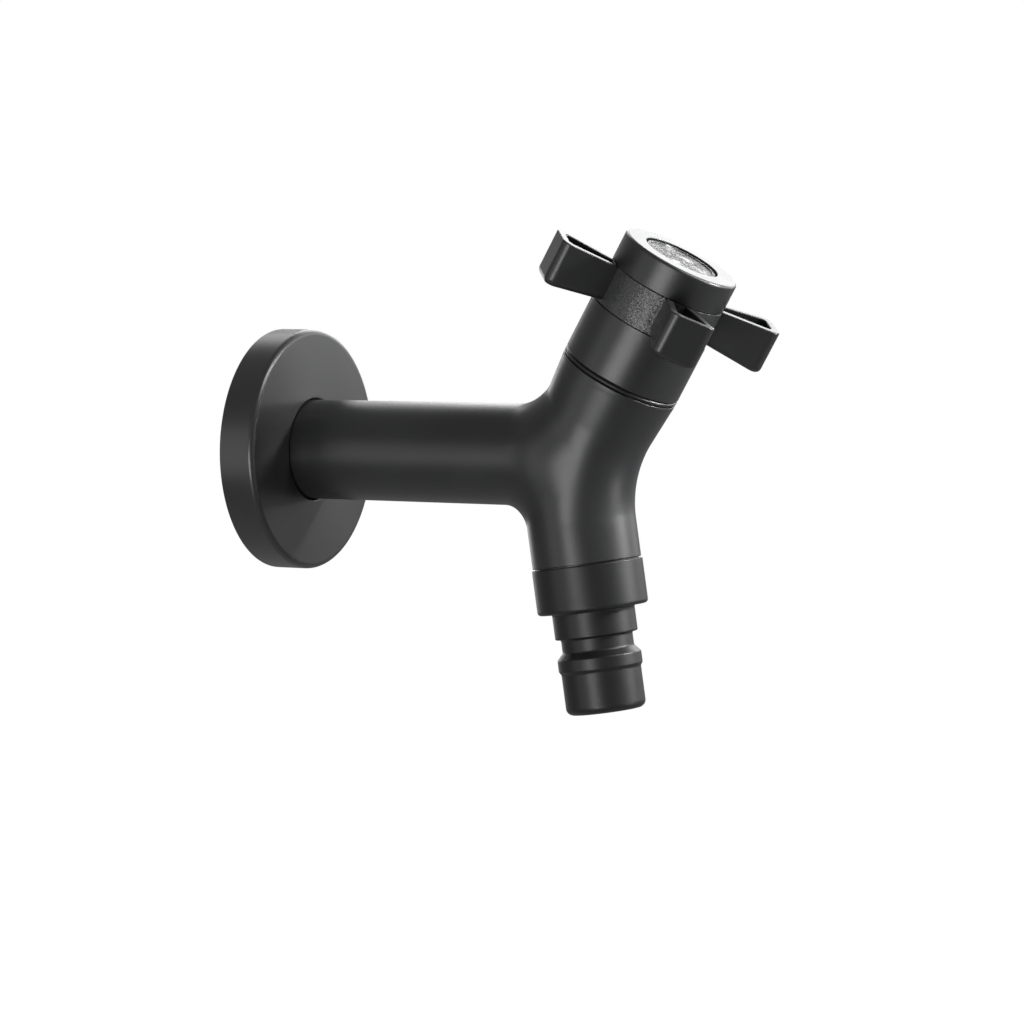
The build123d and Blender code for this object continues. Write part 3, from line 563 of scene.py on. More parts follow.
def thread_rows(sizes, start, end, lead_in, lead_out, rows_a_turn=14, flat=0.1):
    """Return the radius and height of a screw thread's rows from start to end.

    Across one pitch the tooth falls from the crest to the root and back as a smooth step between flats (a share
    of half the pitch), turned along the axis by one pitch a turn. Its depth grows from nothing over lead_in, and
    the crests are cut by a cone over lead_out.
    """
    radius, depth, pitch = sizes.thread_radius, sizes.thread_depth, sizes.thread_pitch
    height = np.linspace(start, end, int(abs(end - start) / pitch * rows_a_turn))[:, None]
    travelled = np.abs(height - start)
    left = np.abs(end - height)
    phase = (height / pitch + angles() / TURN) % 1
    tooth = np.clip((np.abs(2 * phase - 1) - flat) / (1 - 2 * flat), 0, 1)
    tooth = tooth * tooth * (3 - 2 * tooth)
    grown = np.clip(travelled / lead_in, 0, 1)
    cone = radius - depth * np.clip(1 - left / lead_out, 0, 1)
    return np.minimum(radius - depth * tooth * grown, cone), height


class TAP_OT_body(bpy.types.Operator):
    """Build the casting: thread, pipe, blended branches, valve seat and outlet spigot"""

    bl_idname = "garden_tap.body"
    bl_label = "Casting"

    def execute(self, context):
        sizes = context.scene.tap_body
        surface = BodySurface(sizes)
        wallward = np.array((-1.0, 0.0))
        over = surface.seam(between(wallward, surface.up))
        under = surface.seam(between(wallward, surface.down))
        beyond = surface.seam(between(surface.up, surface.down))
        edge, thread = sizes.edge_radius, sizes.thread_radius
        root = thread - sizes.thread_depth

        pipe_face = outline_rows([
            *((sizes.pipe_radius, ring, 0) for ring in PIPE_RINGS),
            (sizes.pipe_radius, sizes.pipe_start, edge), (thread, sizes.pipe_start, 0)])
        inlet_thread = thread_rows(sizes, sizes.pipe_start, THREAD_END, lead_in=2.2 * MM, lead_out=1.1 * MM)
        inlet_bore = outline_rows([
            (root, THREAD_END, 0), (sizes.inlet_bore, THREAD_END, 0.35 * MM), (sizes.inlet_bore, 40 * MM, 0),
            (sizes.inlet_bore, sizes.inlet_bore_end, 0), (sizes.feed_bore, sizes.feed_start, 0),
            (sizes.feed_bore, sizes.feed_end, 0), (0, sizes.feed_end + 1 * MM, 0)])
        inlet = body_grid(surface, INLET, under, over, PIPE_BLEND, pipe_face, inlet_thread, inlet_bore)

        hole_end = sizes.chamber_floor - sizes.seat_hole_depth
        seat = outline_rows([
            (BONNET_RADIUS - 0.05 * MM, BODY_SEAT - 1.0 * MM, 0), (BONNET_RADIUS, BODY_SEAT, edge),
            (sizes.valve_bore, BODY_SEAT, edge), (sizes.valve_bore, sizes.valve_floor, 0),
            (sizes.chamber_radius, sizes.valve_floor, 0), (sizes.chamber_radius, sizes.chamber_floor, 0.5 * MM),
            (sizes.seat_hole, sizes.chamber_floor, 0), (sizes.seat_hole, hole_end, 0), (0, hole_end - 0.4 * MM, 0)])
        bonnet = body_grid(surface, BONNET, beyond, over, BODY_SEAT - REST, seat)

        foot_end = COLLAR_TOP - sizes.collar_gap
        ring, ring_end = sizes.foot_radius - sizes.gap_depth, COLLAR_TOP - 0.12 * MM
        foot = outline_rows([
            (sizes.foot_radius, foot_end - 1.0 * MM, 0), (sizes.foot_radius, foot_end, edge), (ring, foot_end, 0),
            (ring, ring_end, 0), (thread, ring_end, 0)])
        spigot_thread = thread_rows(sizes, ring_end, SPIGOT_END, lead_in=1.4 * MM, lead_out=0.9 * MM)
        outlet_bore = outline_rows([
            (root, SPIGOT_END, 0), (sizes.outlet_bore, SPIGOT_END, 0.3 * MM),
            (sizes.outlet_bore, sizes.outlet_bore_top, 0), (0, sizes.outlet_bore_top - 0.5 * MM, 0)])
        outlet = body_grid(surface, OUTLET, under, beyond, foot_end - REST, foot, spigot_thread, outlet_bore)

        shell = Shell()
        for arm in (inlet, bonnet, outlet):
            shell.grid(arm)
        coat = powder_coat("satin_black_coat", "coat")
        add_piece("body_casting", shell, "body", [coat], "tap_body")
        return {"FINISHED"}


class TAP_OT_flange(bpy.types.Operator):
    """Build the cup-shaped wall flange with its boss and ring groove"""

    bl_idname = "garden_tap.flange"
    bl_label = "Wall flange"

    def execute(self, context):
        sizes = context.scene.tap_flange
        face_back = FLANGE_FRONT - sizes.face
        boss_back = face_back - sizes.boss_depth
        groove = face_back - sizes.boss_depth / 2
        low, high = groove - sizes.groove_width / 2, groove + sizes.groove_width / 2
        inner = FLANGE_RADIUS - sizes.wall
        coat = powder_coat("dull_black_coat", "flange")
        turned_piece("wall_cover", INLET, [
            (sizes.bore_radius, boss_back, 0.25 * MM), (sizes.boss_radius, boss_back, 0.4 * MM),
            (sizes.boss_radius, face_back, 0.8 * MM), (inner, face_back, 1.0 * MM), (inner, FLANGE_BACK, 0.25 * MM),
            (FLANGE_RADIUS, FLANGE_BACK, 0.25 * MM), (FLANGE_RADIUS, FLANGE_FRONT, sizes.front_rounding),
            (sizes.bore_radius, FLANGE_FRONT, 0.35 * MM), (sizes.bore_radius, high, 0),
            (sizes.groove_radius, high, 0.1 * MM), (sizes.groove_radius, low, 0.1 * MM),
            (sizes.bore_radius, low, 0)], "flange", [coat], "wall_flange")
        return {"FINISHED"}


class TAP_OT_bonnet(bpy.types.Operator):
    """Build the bead and the sleeve that cover the valve"""

    bl_idname = "garden_tap.bonnet"
    bl_label = "Bonnet"

    def execute(self, context):
        sizes = context.scene.tap_handle
        coat = powder_coat("satin_black_coat", "coat")
        rim, bore = BONNET_RADIUS, context.scene.tap_body.valve_bore
        slant = 1.35    # width of the bead's bevel over its height
        bevel, lip = sizes.bead_bevel, rim - slant * sizes.bead_bevel
        turned_piece("bonnet_bead", BONNET, [
            (bore, BODY_SEAT, 0), (lip, BODY_SEAT, 0.1 * MM), (rim, BODY_SEAT + bevel, 0.4 * MM),
            (rim, RING_TOP - bevel, 0.4 * MM), (lip, RING_TOP, 0.1 * MM), (bore, RING_TOP, 0)],
            "body", [coat], "bonnet_ring")
        wall, top, lip_foot = rim - sizes.sleeve_wall, SLEEVE_TOP + GAP_FILL, SLEEVE_TOP - sizes.sleeve_lip
        turned_piece("bonnet_shroud", BONNET, [
            (wall, RING_TOP, 0.15 * MM), (rim, RING_TOP, 0.3 * MM), (rim, top, 0.1 * MM),
            (sizes.neck_radius, top, 0.2 * MM), (sizes.neck_radius, lip_foot, 0.2 * MM),
            (wall, lip_foot, 0.4 * MM)], "body", [coat], "bonnet_sleeve")
        return {"FINISHED"}


def rounded_rectangle(near, far, half_width, corner, middle, steps=8):
    """Return points round a rectangle in plan: a quarter circle at each corner, with guard points on the sides,
    and a point of each long side at a middle distance."""
    quarter = np.linspace(0, math.pi / 2, steps + 1)
    arc = np.stack((np.cos(quarter), np.sin(quarter)), -1) * corner
    arc = np.concatenate(([[corner, -GUARD]], arc, [[-GUARD, corner]]))
    loops = []
    for cos, sin in ((1, 0), (0, 1), (-1, 0), (0, -1)):
        x_side, y_side = cos - sin, cos + sin
        centre = ((near + far) / 2 + x_side * ((far - near) / 2 - corner), y_side * (half_width - corner))
        loops.append(centre + arc @ np.array(((cos, sin), (-sin, cos))))
        if cos:
            loops.append([[middle, y_side * half_width]])
    return np.concatenate(loops)


def arm_grid(sizes, direction):
    """Return one arm: a wall profile of (inset, height) carried round a rounded rectangle.

    The profile runs from the middle of the underside out over the wall's rim and down to the trough's floor.
    Towards the hub both sides draw in by a slope times the distance from the arm's end, but by no more than
    most_draw of their own distance from the middle. Beyond the cap the rim rises in proportion to the distance,
    the underside falls in a line from arm_lift at the hub to arm_drop at the end, and the wall between stretches.
    """
    half, deepest = sizes.arm_width / 2, 0.4 * sizes.arm_width
    top, floor = HUB_TOP, HUB_BOTTOM + sizes.arm_floor
    profile = rounded_outline([
        (deepest, HUB_BOTTOM, 0), (0, HUB_BOTTOM, sizes.arm_edge), (0, top, sizes.rim_edge),
        (sizes.arm_wall, top, sizes.rim_edge), (sizes.arm_wall, floor, 0.45 * MM), (deepest, floor, 0)])
    outward = BONNET.place(1.0, direction, 0.0) - BONNET.origin
    sideways = np.cross(BONNET.along, outward)
    clear, least_corner, most_draw = 0.3 * MM, 0.25 * MM, 0.85
    rim_start = CAP_RADIUS + clear
    free = sizes.arm_reach - sizes.hub_radius
    draw = (half - sizes.arm_root / 2) / free
    rings = []
    for inset, height in profile:
        corner = max(sizes.arm_corner - 0.5 * inset, least_corner)
        near = sizes.arm_start + inset
        middle = max(rim_start, near + corner + clear)
        plan = rounded_rectangle(near, sizes.arm_reach - inset, half - inset, corner, middle)
        out, aside = plan[:, :1], plan[:, 1:]
        aside = aside - np.sign(aside) * np.minimum(draw * (sizes.arm_reach - out), most_draw * np.abs(aside))
        beyond = np.clip((out - rim_start) / (sizes.arm_reach - rim_start), 0, 1)
        lift = sizes.arm_rise * beyond * np.clip((height - floor) / (top - floor), 0, 1)
        fall = (sizes.arm_lift + sizes.arm_drop) * (out - sizes.hub_radius) / free - sizes.arm_lift
        lift = lift - fall * (top - height) / (top - HUB_BOTTOM)
        rings.append(BONNET.at(height) + lift * BONNET.along + out * outward + aside * sideways)
    return np.array(rings)


class TAP_OT_handle(bpy.types.Operator):
    """Build the cross handle: a sanded hub with four open-topped arms"""

    bl_idname = "garden_tap.handle"
    bl_label = "Cross handle"

    def execute(self, context):
        sizes = context.scene.tap_handle
        spigot_top = HUB_TOP + sizes.spigot_height
        recess_top = HUB_BOTTOM + sizes.hub_recess_depth
        hub_foot, shoulder = HUB_BOTTOM - GAP_FILL, HUB_TOP - 0.02 * MM
        hub = outline_rows([
            (sizes.hub_recess, hub_foot, 0.2 * MM), (sizes.hub_radius, hub_foot, 0.1 * MM),
            (sizes.hub_radius, shoulder, 0.2 * MM), (sizes.spigot_radius, shoulder, 0),
            (sizes.spigot_radius, spigot_top, 0.3 * MM), (sizes.cap_ledge, spigot_top, 0.2 * MM),
            (sizes.cap_ledge, HUB_TOP, 0), (sizes.hub_bore, HUB_TOP, 0.15 * MM), (sizes.hub_bore, recess_top, 0),
            (sizes.hub_recess, recess_top, 0.3 * MM)])
        shell = Shell()
        shell.grid(turned(BONNET, hub), joined=True, finish=1)
        for number in range(sizes.arm_count):
            shell.grid(arm_grid(sizes, sizes.cross_turn + number * TURN / sizes.arm_count), lids=True)
        finishes = [powder_coat("satin_black_coat", "coat"), sanded_black("sanded_black_coat")]
        add_piece("cross_handle", shell, "handle", finishes, "handle_cross")
        return {"FINISHED"}


def hammered(radius, sizes, dish, overlap=1.9, shaken_spin=0.16, shaken_reach=0.2, seed=7):
    """Return the depth of hammer marks on a disc: each mark is a shallow bowl, 1 - (distance / size)^2 deep,
    about a centre on a sunflower spiral that is shaken a little, and the deepest mark at a point counts."""
    random = np.random.default_rng(seed)
    count = int(overlap * (dish / sizes.dimple_radius) ** 2)
    number = np.arange(count)
    reach = dish * np.sqrt((number + 0.5) / count)
    spin = number * GOLDEN_ANGLE + random.normal(0, shaken_spin, count)
    reach = reach + random.normal(0, shaken_reach, count) * sizes.dimple_radius
    size = sizes.dimple_radius * random.uniform(0.75, 1.25, count)
    x, y = radius * np.cos(angles()), radius * np.sin(angles())
    far = np.hypot(x[..., None] - reach * np.cos(spin), y[..., None] - reach * np.sin(spin))
    bowls = np.clip(1 - (far / size) ** 2, 0, 1) * random.uniform(0.6, 1, count)
    return sizes.dimple_depth * bowls.max(-1)


class TAP_OT_cap(bpy.types.Operator):
    """Build the cap on the handle and the hammered silver disc in it"""

    bl_idname = "garden_tap.cap"
    bl_label = "Cap and index disc"

    def execute(self, context):
        sizes = context.scene.tap_handle
        ledge = HUB_TOP + sizes.spigot_height + 0.3 * MM
        turned_piece("handle_cap", BONNET, [
            (sizes.cap_bore, HUB_TOP, 0.1 * MM), (CAP_RADIUS, HUB_TOP, 0.22 * MM),
            (CAP_RADIUS, CAP_TOP, sizes.cap_rounding), (sizes.index_bore, CAP_TOP, 0.18 * MM),
            (sizes.index_bore, INDEX_SEAT, 0.1 * MM), (sizes.cap_ledge, INDEX_SEAT, 0.1 * MM),
            (sizes.cap_ledge, ledge, 0.1 * MM), (sizes.cap_bore, ledge, 0.2 * MM)],
            "handle", [powder_coat("satin_black_coat", "coat")], "handle_cap_ring")

        _, groove_low, groove_high = BONNET.reach("index_o_ring")
        dish = INDEX_RADIUS - sizes.index_rim
        bowl_radius, bowl_top = dish - 0.1 * MM, INDEX_TOP - sizes.index_dish
        rim = outline_rows([
            (0, INDEX_SEAT, 0), (INDEX_RADIUS, INDEX_SEAT, 0.1 * MM), (INDEX_RADIUS, groove_low, 0),
            (sizes.index_groove, groove_low, 0), (sizes.index_groove, groove_high, 0),
            (INDEX_RADIUS, groove_high, 0), (INDEX_RADIUS, INDEX_TOP, 0.18 * MM), (dish, INDEX_TOP, 0.1 * MM),
            (bowl_radius, bowl_top, 0)])
        smooth_edge = 0.9 * MM
        radius = bowl_radius * np.linspace(1, 0, DISC_RINGS)[1:, None]
        fade = np.clip((dish - radius) / smooth_edge, 0, 1)
        height = bowl_top - hammered(radius, sizes, dish) * fade
        height[-1] = height[-1].mean()
        shell = Shell()
        shell.grid(turned(BONNET, rim, (radius, height)))
        add_piece("hammered_disc", shell, "handle", [hammered_silver("hammered_silver")], "index_disc")
        return {"FINISHED"}


class TAP_OT_nozzle(bpy.types.Operator):
    """Build the hose adaptor: threaded collar, step, groove, ridge and nose"""

    bl_idname = "garden_tap.nozzle"
    bl_label = "Hose adaptor"

    def execute(self, context):
        sizes = context.scene.tap_nozzle
        edge = sizes.edge_radius
        collar_end = COLLAR_TOP + sizes.collar_height
        step_end = collar_end + sizes.step_height
        groove_end = step_end + sizes.groove_height
        cone_end = groove_end + sizes.ridge_shoulder
        ridge_end = cone_end + sizes.ridge_height
        insert_top = NOSE_END - sizes.insert_depth
        top, shoulder = COLLAR_TOP - sizes.collar_rise, SPIGOT_END + sizes.washer_thickness
        coat = powder_coat("deep_black_coat", "nozzle")
        turned_piece("hose_nozzle", OUTLET, [
            (sizes.thread_bore, top, 0.3 * MM), (COLLAR_RADIUS, top, 0.18 * MM),
            (COLLAR_RADIUS, collar_end, sizes.collar_rounding), (sizes.step_radius, collar_end, 0.5 * MM),
            (sizes.step_radius, step_end, edge), (sizes.groove_radius, step_end, 0.5 * MM),
            (sizes.groove_radius, groove_end, 0.8 * MM), (sizes.ridge_radius, cone_end, edge),
            (sizes.ridge_radius, ridge_end - sizes.ridge_slope, edge),
            (sizes.nose_radius, ridge_end + sizes.ridge_slope, edge),
            (sizes.nose_radius, NOSE_END, sizes.nose_rounding), (sizes.insert_bore, NOSE_END, 0.35 * MM),
            (sizes.insert_bore, insert_top, 0), (sizes.bore_radius, insert_top, 0.1 * MM),
            (sizes.bore_radius, shoulder, 0.1 * MM), (sizes.thread_bore, shoulder, 0.2 * MM)],
            "body", [coat], "hose_adaptor")
        return {"FINISHED"}


# Finishes


class Socket:
    """An output of a node. Arithmetic on it adds Math nodes to the same tree."""

    def __init__(self, tree, socket):
        self.tree = tree
        self.socket = socket

    def math(self, operation, first, second):
        """Add a Math node."""
        return self.tree.node("ShaderNodeMath", {"operation": operation}, {0: first, 1: second})

    def __add__(self, other):
        return self.math("ADD", self, other)

    def __radd__(self, other):
        return self.math("ADD", other, self)

    def __sub__(self, other):
        return self.math("SUBTRACT", self, other)

    def __rsub__(self, other):
        return self.math("SUBTRACT", other, self)

    def __mul__(self, other):
        return self.math("MULTIPLY", self, other)

    def __rmul__(self, other):
        return self.math("MULTIPLY", other, self)

    def rise(self, low, high):
        """Return 0 below low, 1 above high and a smooth step between."""
        return self.tree.node("ShaderNodeMapRange", {"interpolation_type": "SMOOTHSTEP"},
                              {"Value": self, "From Min": low, "From Max": high})


class Tree:
    """The nodes of a material or world."""

    def __init__(self, owner):
        owner.use_nodes = True
        self.tree = owner.node_tree
        self.tree.nodes.clear()

    def node(self, kind, settings=None, inputs=None, output=0):
        """Add a node: its settings first, then values or links for its sockets. Returns one output."""
        node = self.tree.nodes.new(kind)
        for key, value in (settings or {}).items():
            setattr(node, key, value)
        for key, value in (inputs or {}).items():
            if isinstance(value, Socket):
                self.tree.links.new(value.socket, node.inputs[key])
            else:
                node.inputs[key].default_value = value
        return Socket(self, node.outputs[output]) if len(node.outputs) else None

    def place(self):
        """Return the object's own coordinates."""
        return self.node("ShaderNodeTexCoord", output="Object")

    def noise(self, size, detail=2.0, roughness=0.5):
        """Return noise whose features are about a size in metres."""
        return self.node("ShaderNodeTexNoise", None, {
            "Vector": self.place(), "Scale": 1 / size, "Detail": detail, "Roughness": roughness})

    def blend(self, factor, first, second):
        """Return a mix of two colours."""
        return self.node("ShaderNodeMix", {"data_type": "RGBA"}, {0: factor, 6: first, 7: second}, output=2)

    def facets(self, size, tilt):
        """Return normals of small flat facets: the surface's normal plus a random vector for each cell."""
        cell = self.node("ShaderNodeTexVoronoi", None, {"Vector": self.place(), "Scale": 1 / size}, output="Color")
        lean = self.vector("SCALE", self.vector("SUBTRACT", cell, (0.5, 0.5, 0.5)), Scale=tilt)
        return self.vector("NORMALIZE", self.vector("ADD", self.node("ShaderNodeNewGeometry", output="Normal"), lean))

    def vector(self, operation, *vectors, **numbers):
        """Return the result of a Vector Math node."""
        return self.node("ShaderNodeVectorMath", {"operation": operation}, {**dict(enumerate(vectors)), **numbers})

    def bump(self, height, strength, distance):
        """Return the normal of a height."""
        return self.node("ShaderNodeBump", None, {"Height": height, "Strength": strength, "Distance": distance})

    def surface(self, **inputs):
        """Make the one surface of the material."""
        sockets = {key.replace("_", " "): value for key, value in inputs.items()}
        shader = self.node("ShaderNodeBsdfPrincipled", None, sockets)
        self.node("ShaderNodeOutputMaterial", None, {"Surface": shader})


def shade(tint, factor=1.0):
    """Return a colour made paler or darker, with its alpha."""
    return (*(min(1.0, part * factor) for part in tint), 1.0)


def painted(paint):
    """Turn a function that paints a tree into one that returns the material of a name, painted the first time."""
    @wraps(paint)
    def material(name, *values):
        made = bpy.data.materials.get(name)
        if not made:
            made = bpy.data.materials.new(name)
            paint(Tree(made), bpy.context.scene.tap_finish, *values)
        return made
    return material


@painted
def powder_coat(tree, sizes, part):
    """Powder coat of a part of the settings, such as the nozzle: a fine grain, a slow drift in tone and gloss."""
    tint, rough, specular = (getattr(sizes, f"{part}_{key}") for key in ("colour", "roughness", "specular"))
    drift = tree.noise(14 * MM, 3.0)
    grain = tree.noise(sizes.coat_grain, 2.0, 0.6)
    tone = tree.blend(drift.rise(0.35, 0.7), shade(tint), shade(tint, 1.22))
    tree.surface(Base_Color=tone, Roughness=rough + (drift - 0.5) * 0.08 + (grain - 0.5) * 0.12,
                 Specular_IOR_Level=specular, Normal=tree.bump(grain, 0.10, 0.02 * MM))


@painted
def sanded_black(tree, sizes):
    """The hub's coarse black: sand grains that glint one by one."""
    fine = tree.noise(sizes.hub_grain, 2.0, 0.7)
    tone = tree.blend(fine.rise(0.46, 0.66), shade(sizes.hub_colour), shade(sizes.hub_colour, 2.6))
    tree.surface(Base_Color=tone, Roughness=0.22 + 0.2 * fine, Specular_IOR_Level=0.55,
                 Normal=tree.facets(sizes.hub_grain, 0.32))


@painted
def hammered_silver(tree, sizes):
    """Pale metallic grey, beaten into small facets, with dark tarnish in clouds."""
    cloud = tree.noise(5 * MM, 3.0, 0.6)
    pits = tree.noise(0.5 * MM, 3.0, 0.75)
    stain = cloud.rise(0.30, 0.50) * pits.rise(0.32, 0.50)
    tone = tree.blend(stain, shade(sizes.silver_colour), shade(sizes.silver_colour, 0.14))
    tree.surface(Base_Color=tone, Metallic=0.13, Specular_IOR_Level=0.2, Roughness=0.34 + 0.2 * stain,
                 Normal=tree.facets(0.3 * MM, 0.5))


@painted
def turned_metal(tree, sizes, part, groove=0.16 * MM):
    """Bare turned metal: rings left by the tool about the bonnet's axis, with a slow drift in tone."""
    tint = getattr(sizes, f"{part}_colour")
    basis = Matrix((BONNET.side, BONNET.front, BONNET.along)).to_euler()
    local = tree.node("ShaderNodeMapping", {"vector_type": "POINT"}, {
        "Vector": tree.place(), "Rotation": basis, "Scale": (60.0, 60.0, 1 / groove)})
    rings = tree.node("ShaderNodeTexNoise", None, {"Vector": local, "Scale": 1.0, "Detail": 2.0})
    drift = tree.noise(4 * MM, 3.0)
    tone = tree.blend(drift.rise(0.3, 0.7), shade(tint, 0.82), shade(tint, 1.06))
    tree.surface(Base_Color=tone, Metallic=1.0, Roughness=0.24 + 0.18 * rings + 0.08 * drift,
                 Normal=tree.bump(rings, 0.25, 0.02 * MM))


@painted
def moulded(tree, sizes, part, roughness, grain=0.25 * MM, relief=0.15):
    """Rubber, plastic or ceramic: a fine skin with a slow drift in tone."""
    tint = getattr(sizes, f"{part}_colour")
    drift = tree.noise(3 * MM, 3.0)
    skin = tree.noise(grain, 2.0, 0.6)
    tone = tree.blend(drift.rise(0.3, 0.7), shade(tint, 0.85), shade(tint, 1.08))
    tree.surface(Base_Color=tone, Roughness=roughness + (skin - 0.5) * 0.16 + (drift - 0.5) * 0.08,
                 Normal=tree.bump(skin, relief, 0.02 * MM))


class TAP_OT_inner_pieces(bpy.types.Operator):
    """Give the valve, the screw, the seals and the flow straightener their finishes"""

    bl_idname = "garden_tap.inner_pieces"
    bl_label = "Inner pieces"

    def execute(self, context):
        finishes = (
            (turned_metal("turned_brass", "brass"), ("cartridge_housing", "spindle", "handle_insert")),
            (turned_metal("stainless_steel", "steel", 0.1 * MM), ("spindle_clip", "screw_washer", "handle_screw")),
            (moulded("black_rubber", "rubber", 0.55, 0.25 * MM, 0.3),
             ("flange_o_ring", "cartridge_o_ring", "cartridge_seat_seal", "spindle_o_ring_lower",
              "spindle_o_ring_upper", "index_o_ring", "outlet_washer", "straightener_seal")),
            (moulded("lapped_ceramic", "ceramic", 0.18, 0.12 * MM, 0.05),
             ("ceramic_disc_fixed", "ceramic_disc_rotating")),
            (moulded("white_slip_plastic", "slip", 0.38), ("friction_washer",)),
            (moulded("dark_moulded_plastic", "insert", 0.42, 0.3 * MM), ("flow_straightener",)))
        for made, nodes in finishes:
            for node in nodes:
                for place in frame["nodes"][node].material_slots:
                    place.material = made
        return {"FINISHED"}


# Studio


LAMP_TARGET = Vector((72, 0, 8)) * MM
LAMPS = (
    # name, azimuth, elevation, distance, width, height, roll, watts. Azimuth 0 is in front of the tap, 90 on its
    # right. Angles are in degrees and lengths in metres.
    ("key_lamp", 116, 21, 0.6, 0.07, 0.07, 0, 5.6),
    ("front_softbox", 0, -13, 1.2, 0.66, 0.32, -40, 6.7),
    ("near_left_softbox", -40, -1, 1.2, 0.5, 0.8, 0, 1.45),
    ("low_right_softbox", 105, -13, 1.2, 0.34, 0.34, 0, 1.8),
    ("back_softbox", -170, 28, 1.2, 0.95, 0.66, 0, 8.8),
    ("low_back_softbox", 158, 10, 1.2, 0.5, 0.4, 0, 1.5),
    ("left_softbox", -128, 0, 1.2, 0.45, 0.4, 0, 1.5),
    ("right_softbox", 121, 7, 1.2, 0.3, 0.3, 0, 1.0),
    ("high_right_softbox", 94, 43, 1.2, 0.26, 0.26, 0, 8.5),
    ("high_left_softbox", -134, 36, 1.2, 0.35, 0.35, 0, 0.8))


def towards(azimuth, elevation):
    """Return the direction from the tap towards an azimuth and elevation in radians."""
    level = math.cos(elevation)
    return Vector((math.sin(azimuth) * level, -math.cos(azimuth) * level, math.sin(elevation)))


def add_lamp(name, azimuth, elevation, distance, width, height, roll, power):
    """Add a rectangular lamp that shines at LAMP_TARGET and isn't seen itself."""
    data = bpy.data.lights.new(name, "AREA")
    data.shape = "RECTANGLE"
    data.size, data.size_y, data.energy = width, height, power
    lamp = bpy.data.objects.new(name, data)
    bpy.context.scene.collection.objects.link(lamp)
    lamp.location = LAMP_TARGET + distance * towards(math.radians(azimuth), math.radians(elevation))
    facing = (LAMP_TARGET - lamp.location).to_track_quat("-Z", "Y").to_matrix()
    lamp.rotation_euler = (facing @ Matrix.Rotation(math.radians(roll), 3, "Z")).to_euler()
    lamp.visible_camera = False


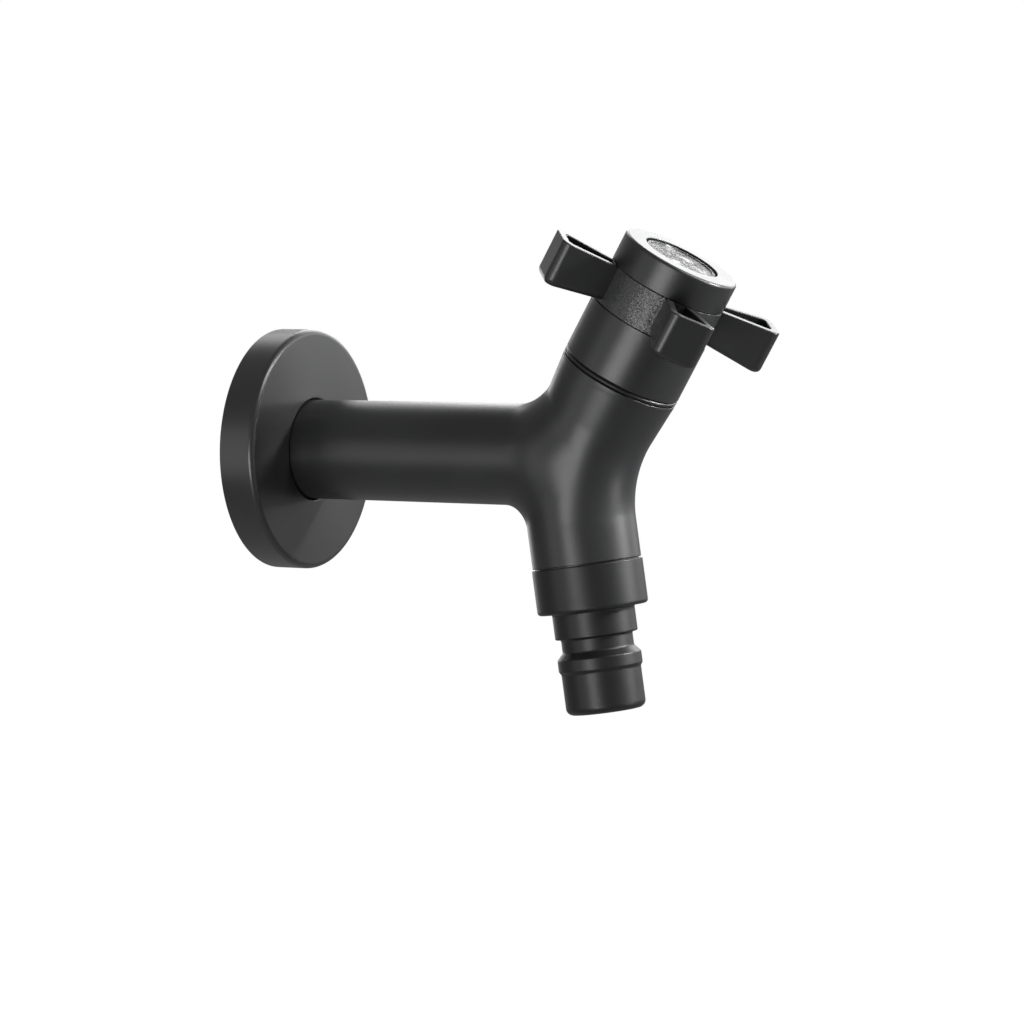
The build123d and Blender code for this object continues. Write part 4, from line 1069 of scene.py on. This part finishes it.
class TAP_OT_studio(bpy.types.Operator):
    """Make the floor, the lamps, the white surroundings and the camera"""

    bl_idname = "garden_tap.studio"
    bl_label = "Studio"

    def execute(self, context):
        studio = context.scene.tap_studio
        self.floor(studio)
        self.surroundings(studio)
        for lamp in LAMPS:
            add_lamp(*lamp)
        self.camera(studio)
        context.scene.view_settings.view_transform = "Standard"
        return {"FINISHED"}

    def seen_white(self, tree, studio):
        """Return how far the eye, glass or a mirror sees the surroundings as white."""
        camera, clear, mirror = (
            tree.node("ShaderNodeLightPath", output=f"Is {kind} Ray") for kind in ("Camera", "Transmission", "Glossy"))
        white = camera + clear + mirror * studio.mirrored_white
        return white.math("MINIMUM", white, 1.0)

    def floor(self, studio):
        """Lay a floor that looks white and still takes the tap's shadow."""
        bpy.ops.mesh.primitive_plane_add(size=studio.floor_side, location=(0, 0, -studio.floor_drop))
        floor = bpy.context.object
        floor.name = "studio_floor"
        made = bpy.data.materials.new("pale_floor")
        tree = Tree(made)
        plain = tree.node("ShaderNodeBsdfDiffuse", None, {"Color": shade(studio.floor_colour)})
        white = tree.node("ShaderNodeEmission", None, {"Color": (1, 1, 1, 1), "Strength": studio.floor_glow})
        seen = self.seen_white(tree, studio) * studio.floor_white
        mixed = tree.node("ShaderNodeMixShader", None, {0: seen, 1: plain, 2: white})
        tree.node("ShaderNodeOutputMaterial", None, {"Surface": mixed})
        floor.data.materials.append(made)

    def surroundings(self, studio):
        """Make a room that lights dimly and looks white."""
        world = bpy.data.worlds.new("studio_room")
        bpy.context.scene.world = world
        tree = Tree(world)
        dim = tree.node("ShaderNodeBackground", None, {"Color": (1, 1, 1, 1), "Strength": studio.room_light})
        white = tree.node("ShaderNodeBackground", None, {"Color": (1, 1, 1, 1), "Strength": 1.0})
        mixed = tree.node("ShaderNodeMixShader", None, {0: self.seen_white(tree, studio), 1: dim, 2: white})
        tree.node("ShaderNodeOutputWorld", None, {"Surface": mixed})

    def camera(self, studio):
        """Stand the camera where the pipe's start falls on its place in the picture."""
        back = towards(studio.azimuth, studio.elevation)
        right = Vector((math.cos(studio.azimuth), math.sin(studio.azimuth), 0))
        up = back.cross(right)
        data = bpy.data.cameras.new("camera")
        data.lens = studio.focal_length * data.sensor_width
        camera = bpy.data.objects.new("camera", data)
        bpy.context.scene.collection.objects.link(camera)
        across = (studio.origin_x - 0.5) / studio.focal_length * studio.distance
        down = (studio.origin_y - 0.5) / studio.focal_length * studio.distance
        camera.location = back * studio.distance - right * across + up * down
        facing = Matrix((right, up, back)).transposed()
        camera.rotation_euler = (facing @ Matrix.Rotation(studio.roll, 3, "Z")).to_euler()
        bpy.context.scene.camera = camera


class TAP_PT_panel(bpy.types.Panel):
    """The tap's pieces and settings"""

    bl_label = "Garden Tap"
    bl_idname = "TAP_PT_panel"
    bl_space_type = "VIEW_3D"
    bl_region_type = "UI"
    bl_category = "Garden Tap"

    def draw(self, context):
        for operator in OPERATORS:
            self.layout.operator(operator.bl_idname)
        for name in SETTINGS:
            group = getattr(context.scene, name)
            box = self.layout.box()
            for key in group.bl_rna.properties.keys():
                if key not in ("rna_type", "name"):
                    box.prop(group, key)


SETTINGS = {
    "tap_body": TapBodySettings, "tap_flange": TapFlangeSettings, "tap_handle": TapHandleSettings,
    "tap_nozzle": TapNozzleSettings, "tap_finish": TapFinishSettings, "tap_studio": TapStudioSettings}
OPERATORS = (TAP_OT_body, TAP_OT_flange, TAP_OT_bonnet, TAP_OT_handle, TAP_OT_cap, TAP_OT_nozzle,
             TAP_OT_inner_pieces, TAP_OT_studio)


def register():
    """Register the settings, operators and panel."""
    for group in SETTINGS.values():
        bpy.utils.register_class(group)
    for item in (*OPERATORS, TAP_PT_panel):
        bpy.utils.register_class(item)
    for name, group in SETTINGS.items():
        setattr(bpy.types.Scene, name, bpy.props.PointerProperty(type=group))


def unregister():
    """Take them back, in the reverse order."""
    for name in SETTINGS:
        delattr(bpy.types.Scene, name)
    for item in (*OPERATORS, TAP_PT_panel, *SETTINGS.values()):
        bpy.utils.unregister_class(item)


def main():
    """Build everything."""
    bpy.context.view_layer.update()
    register()
    for operator in OPERATORS:
        group, name = operator.bl_idname.split(".")
        getattr(getattr(bpy.ops, group), name)()


if __name__ == "__main__":
    main()
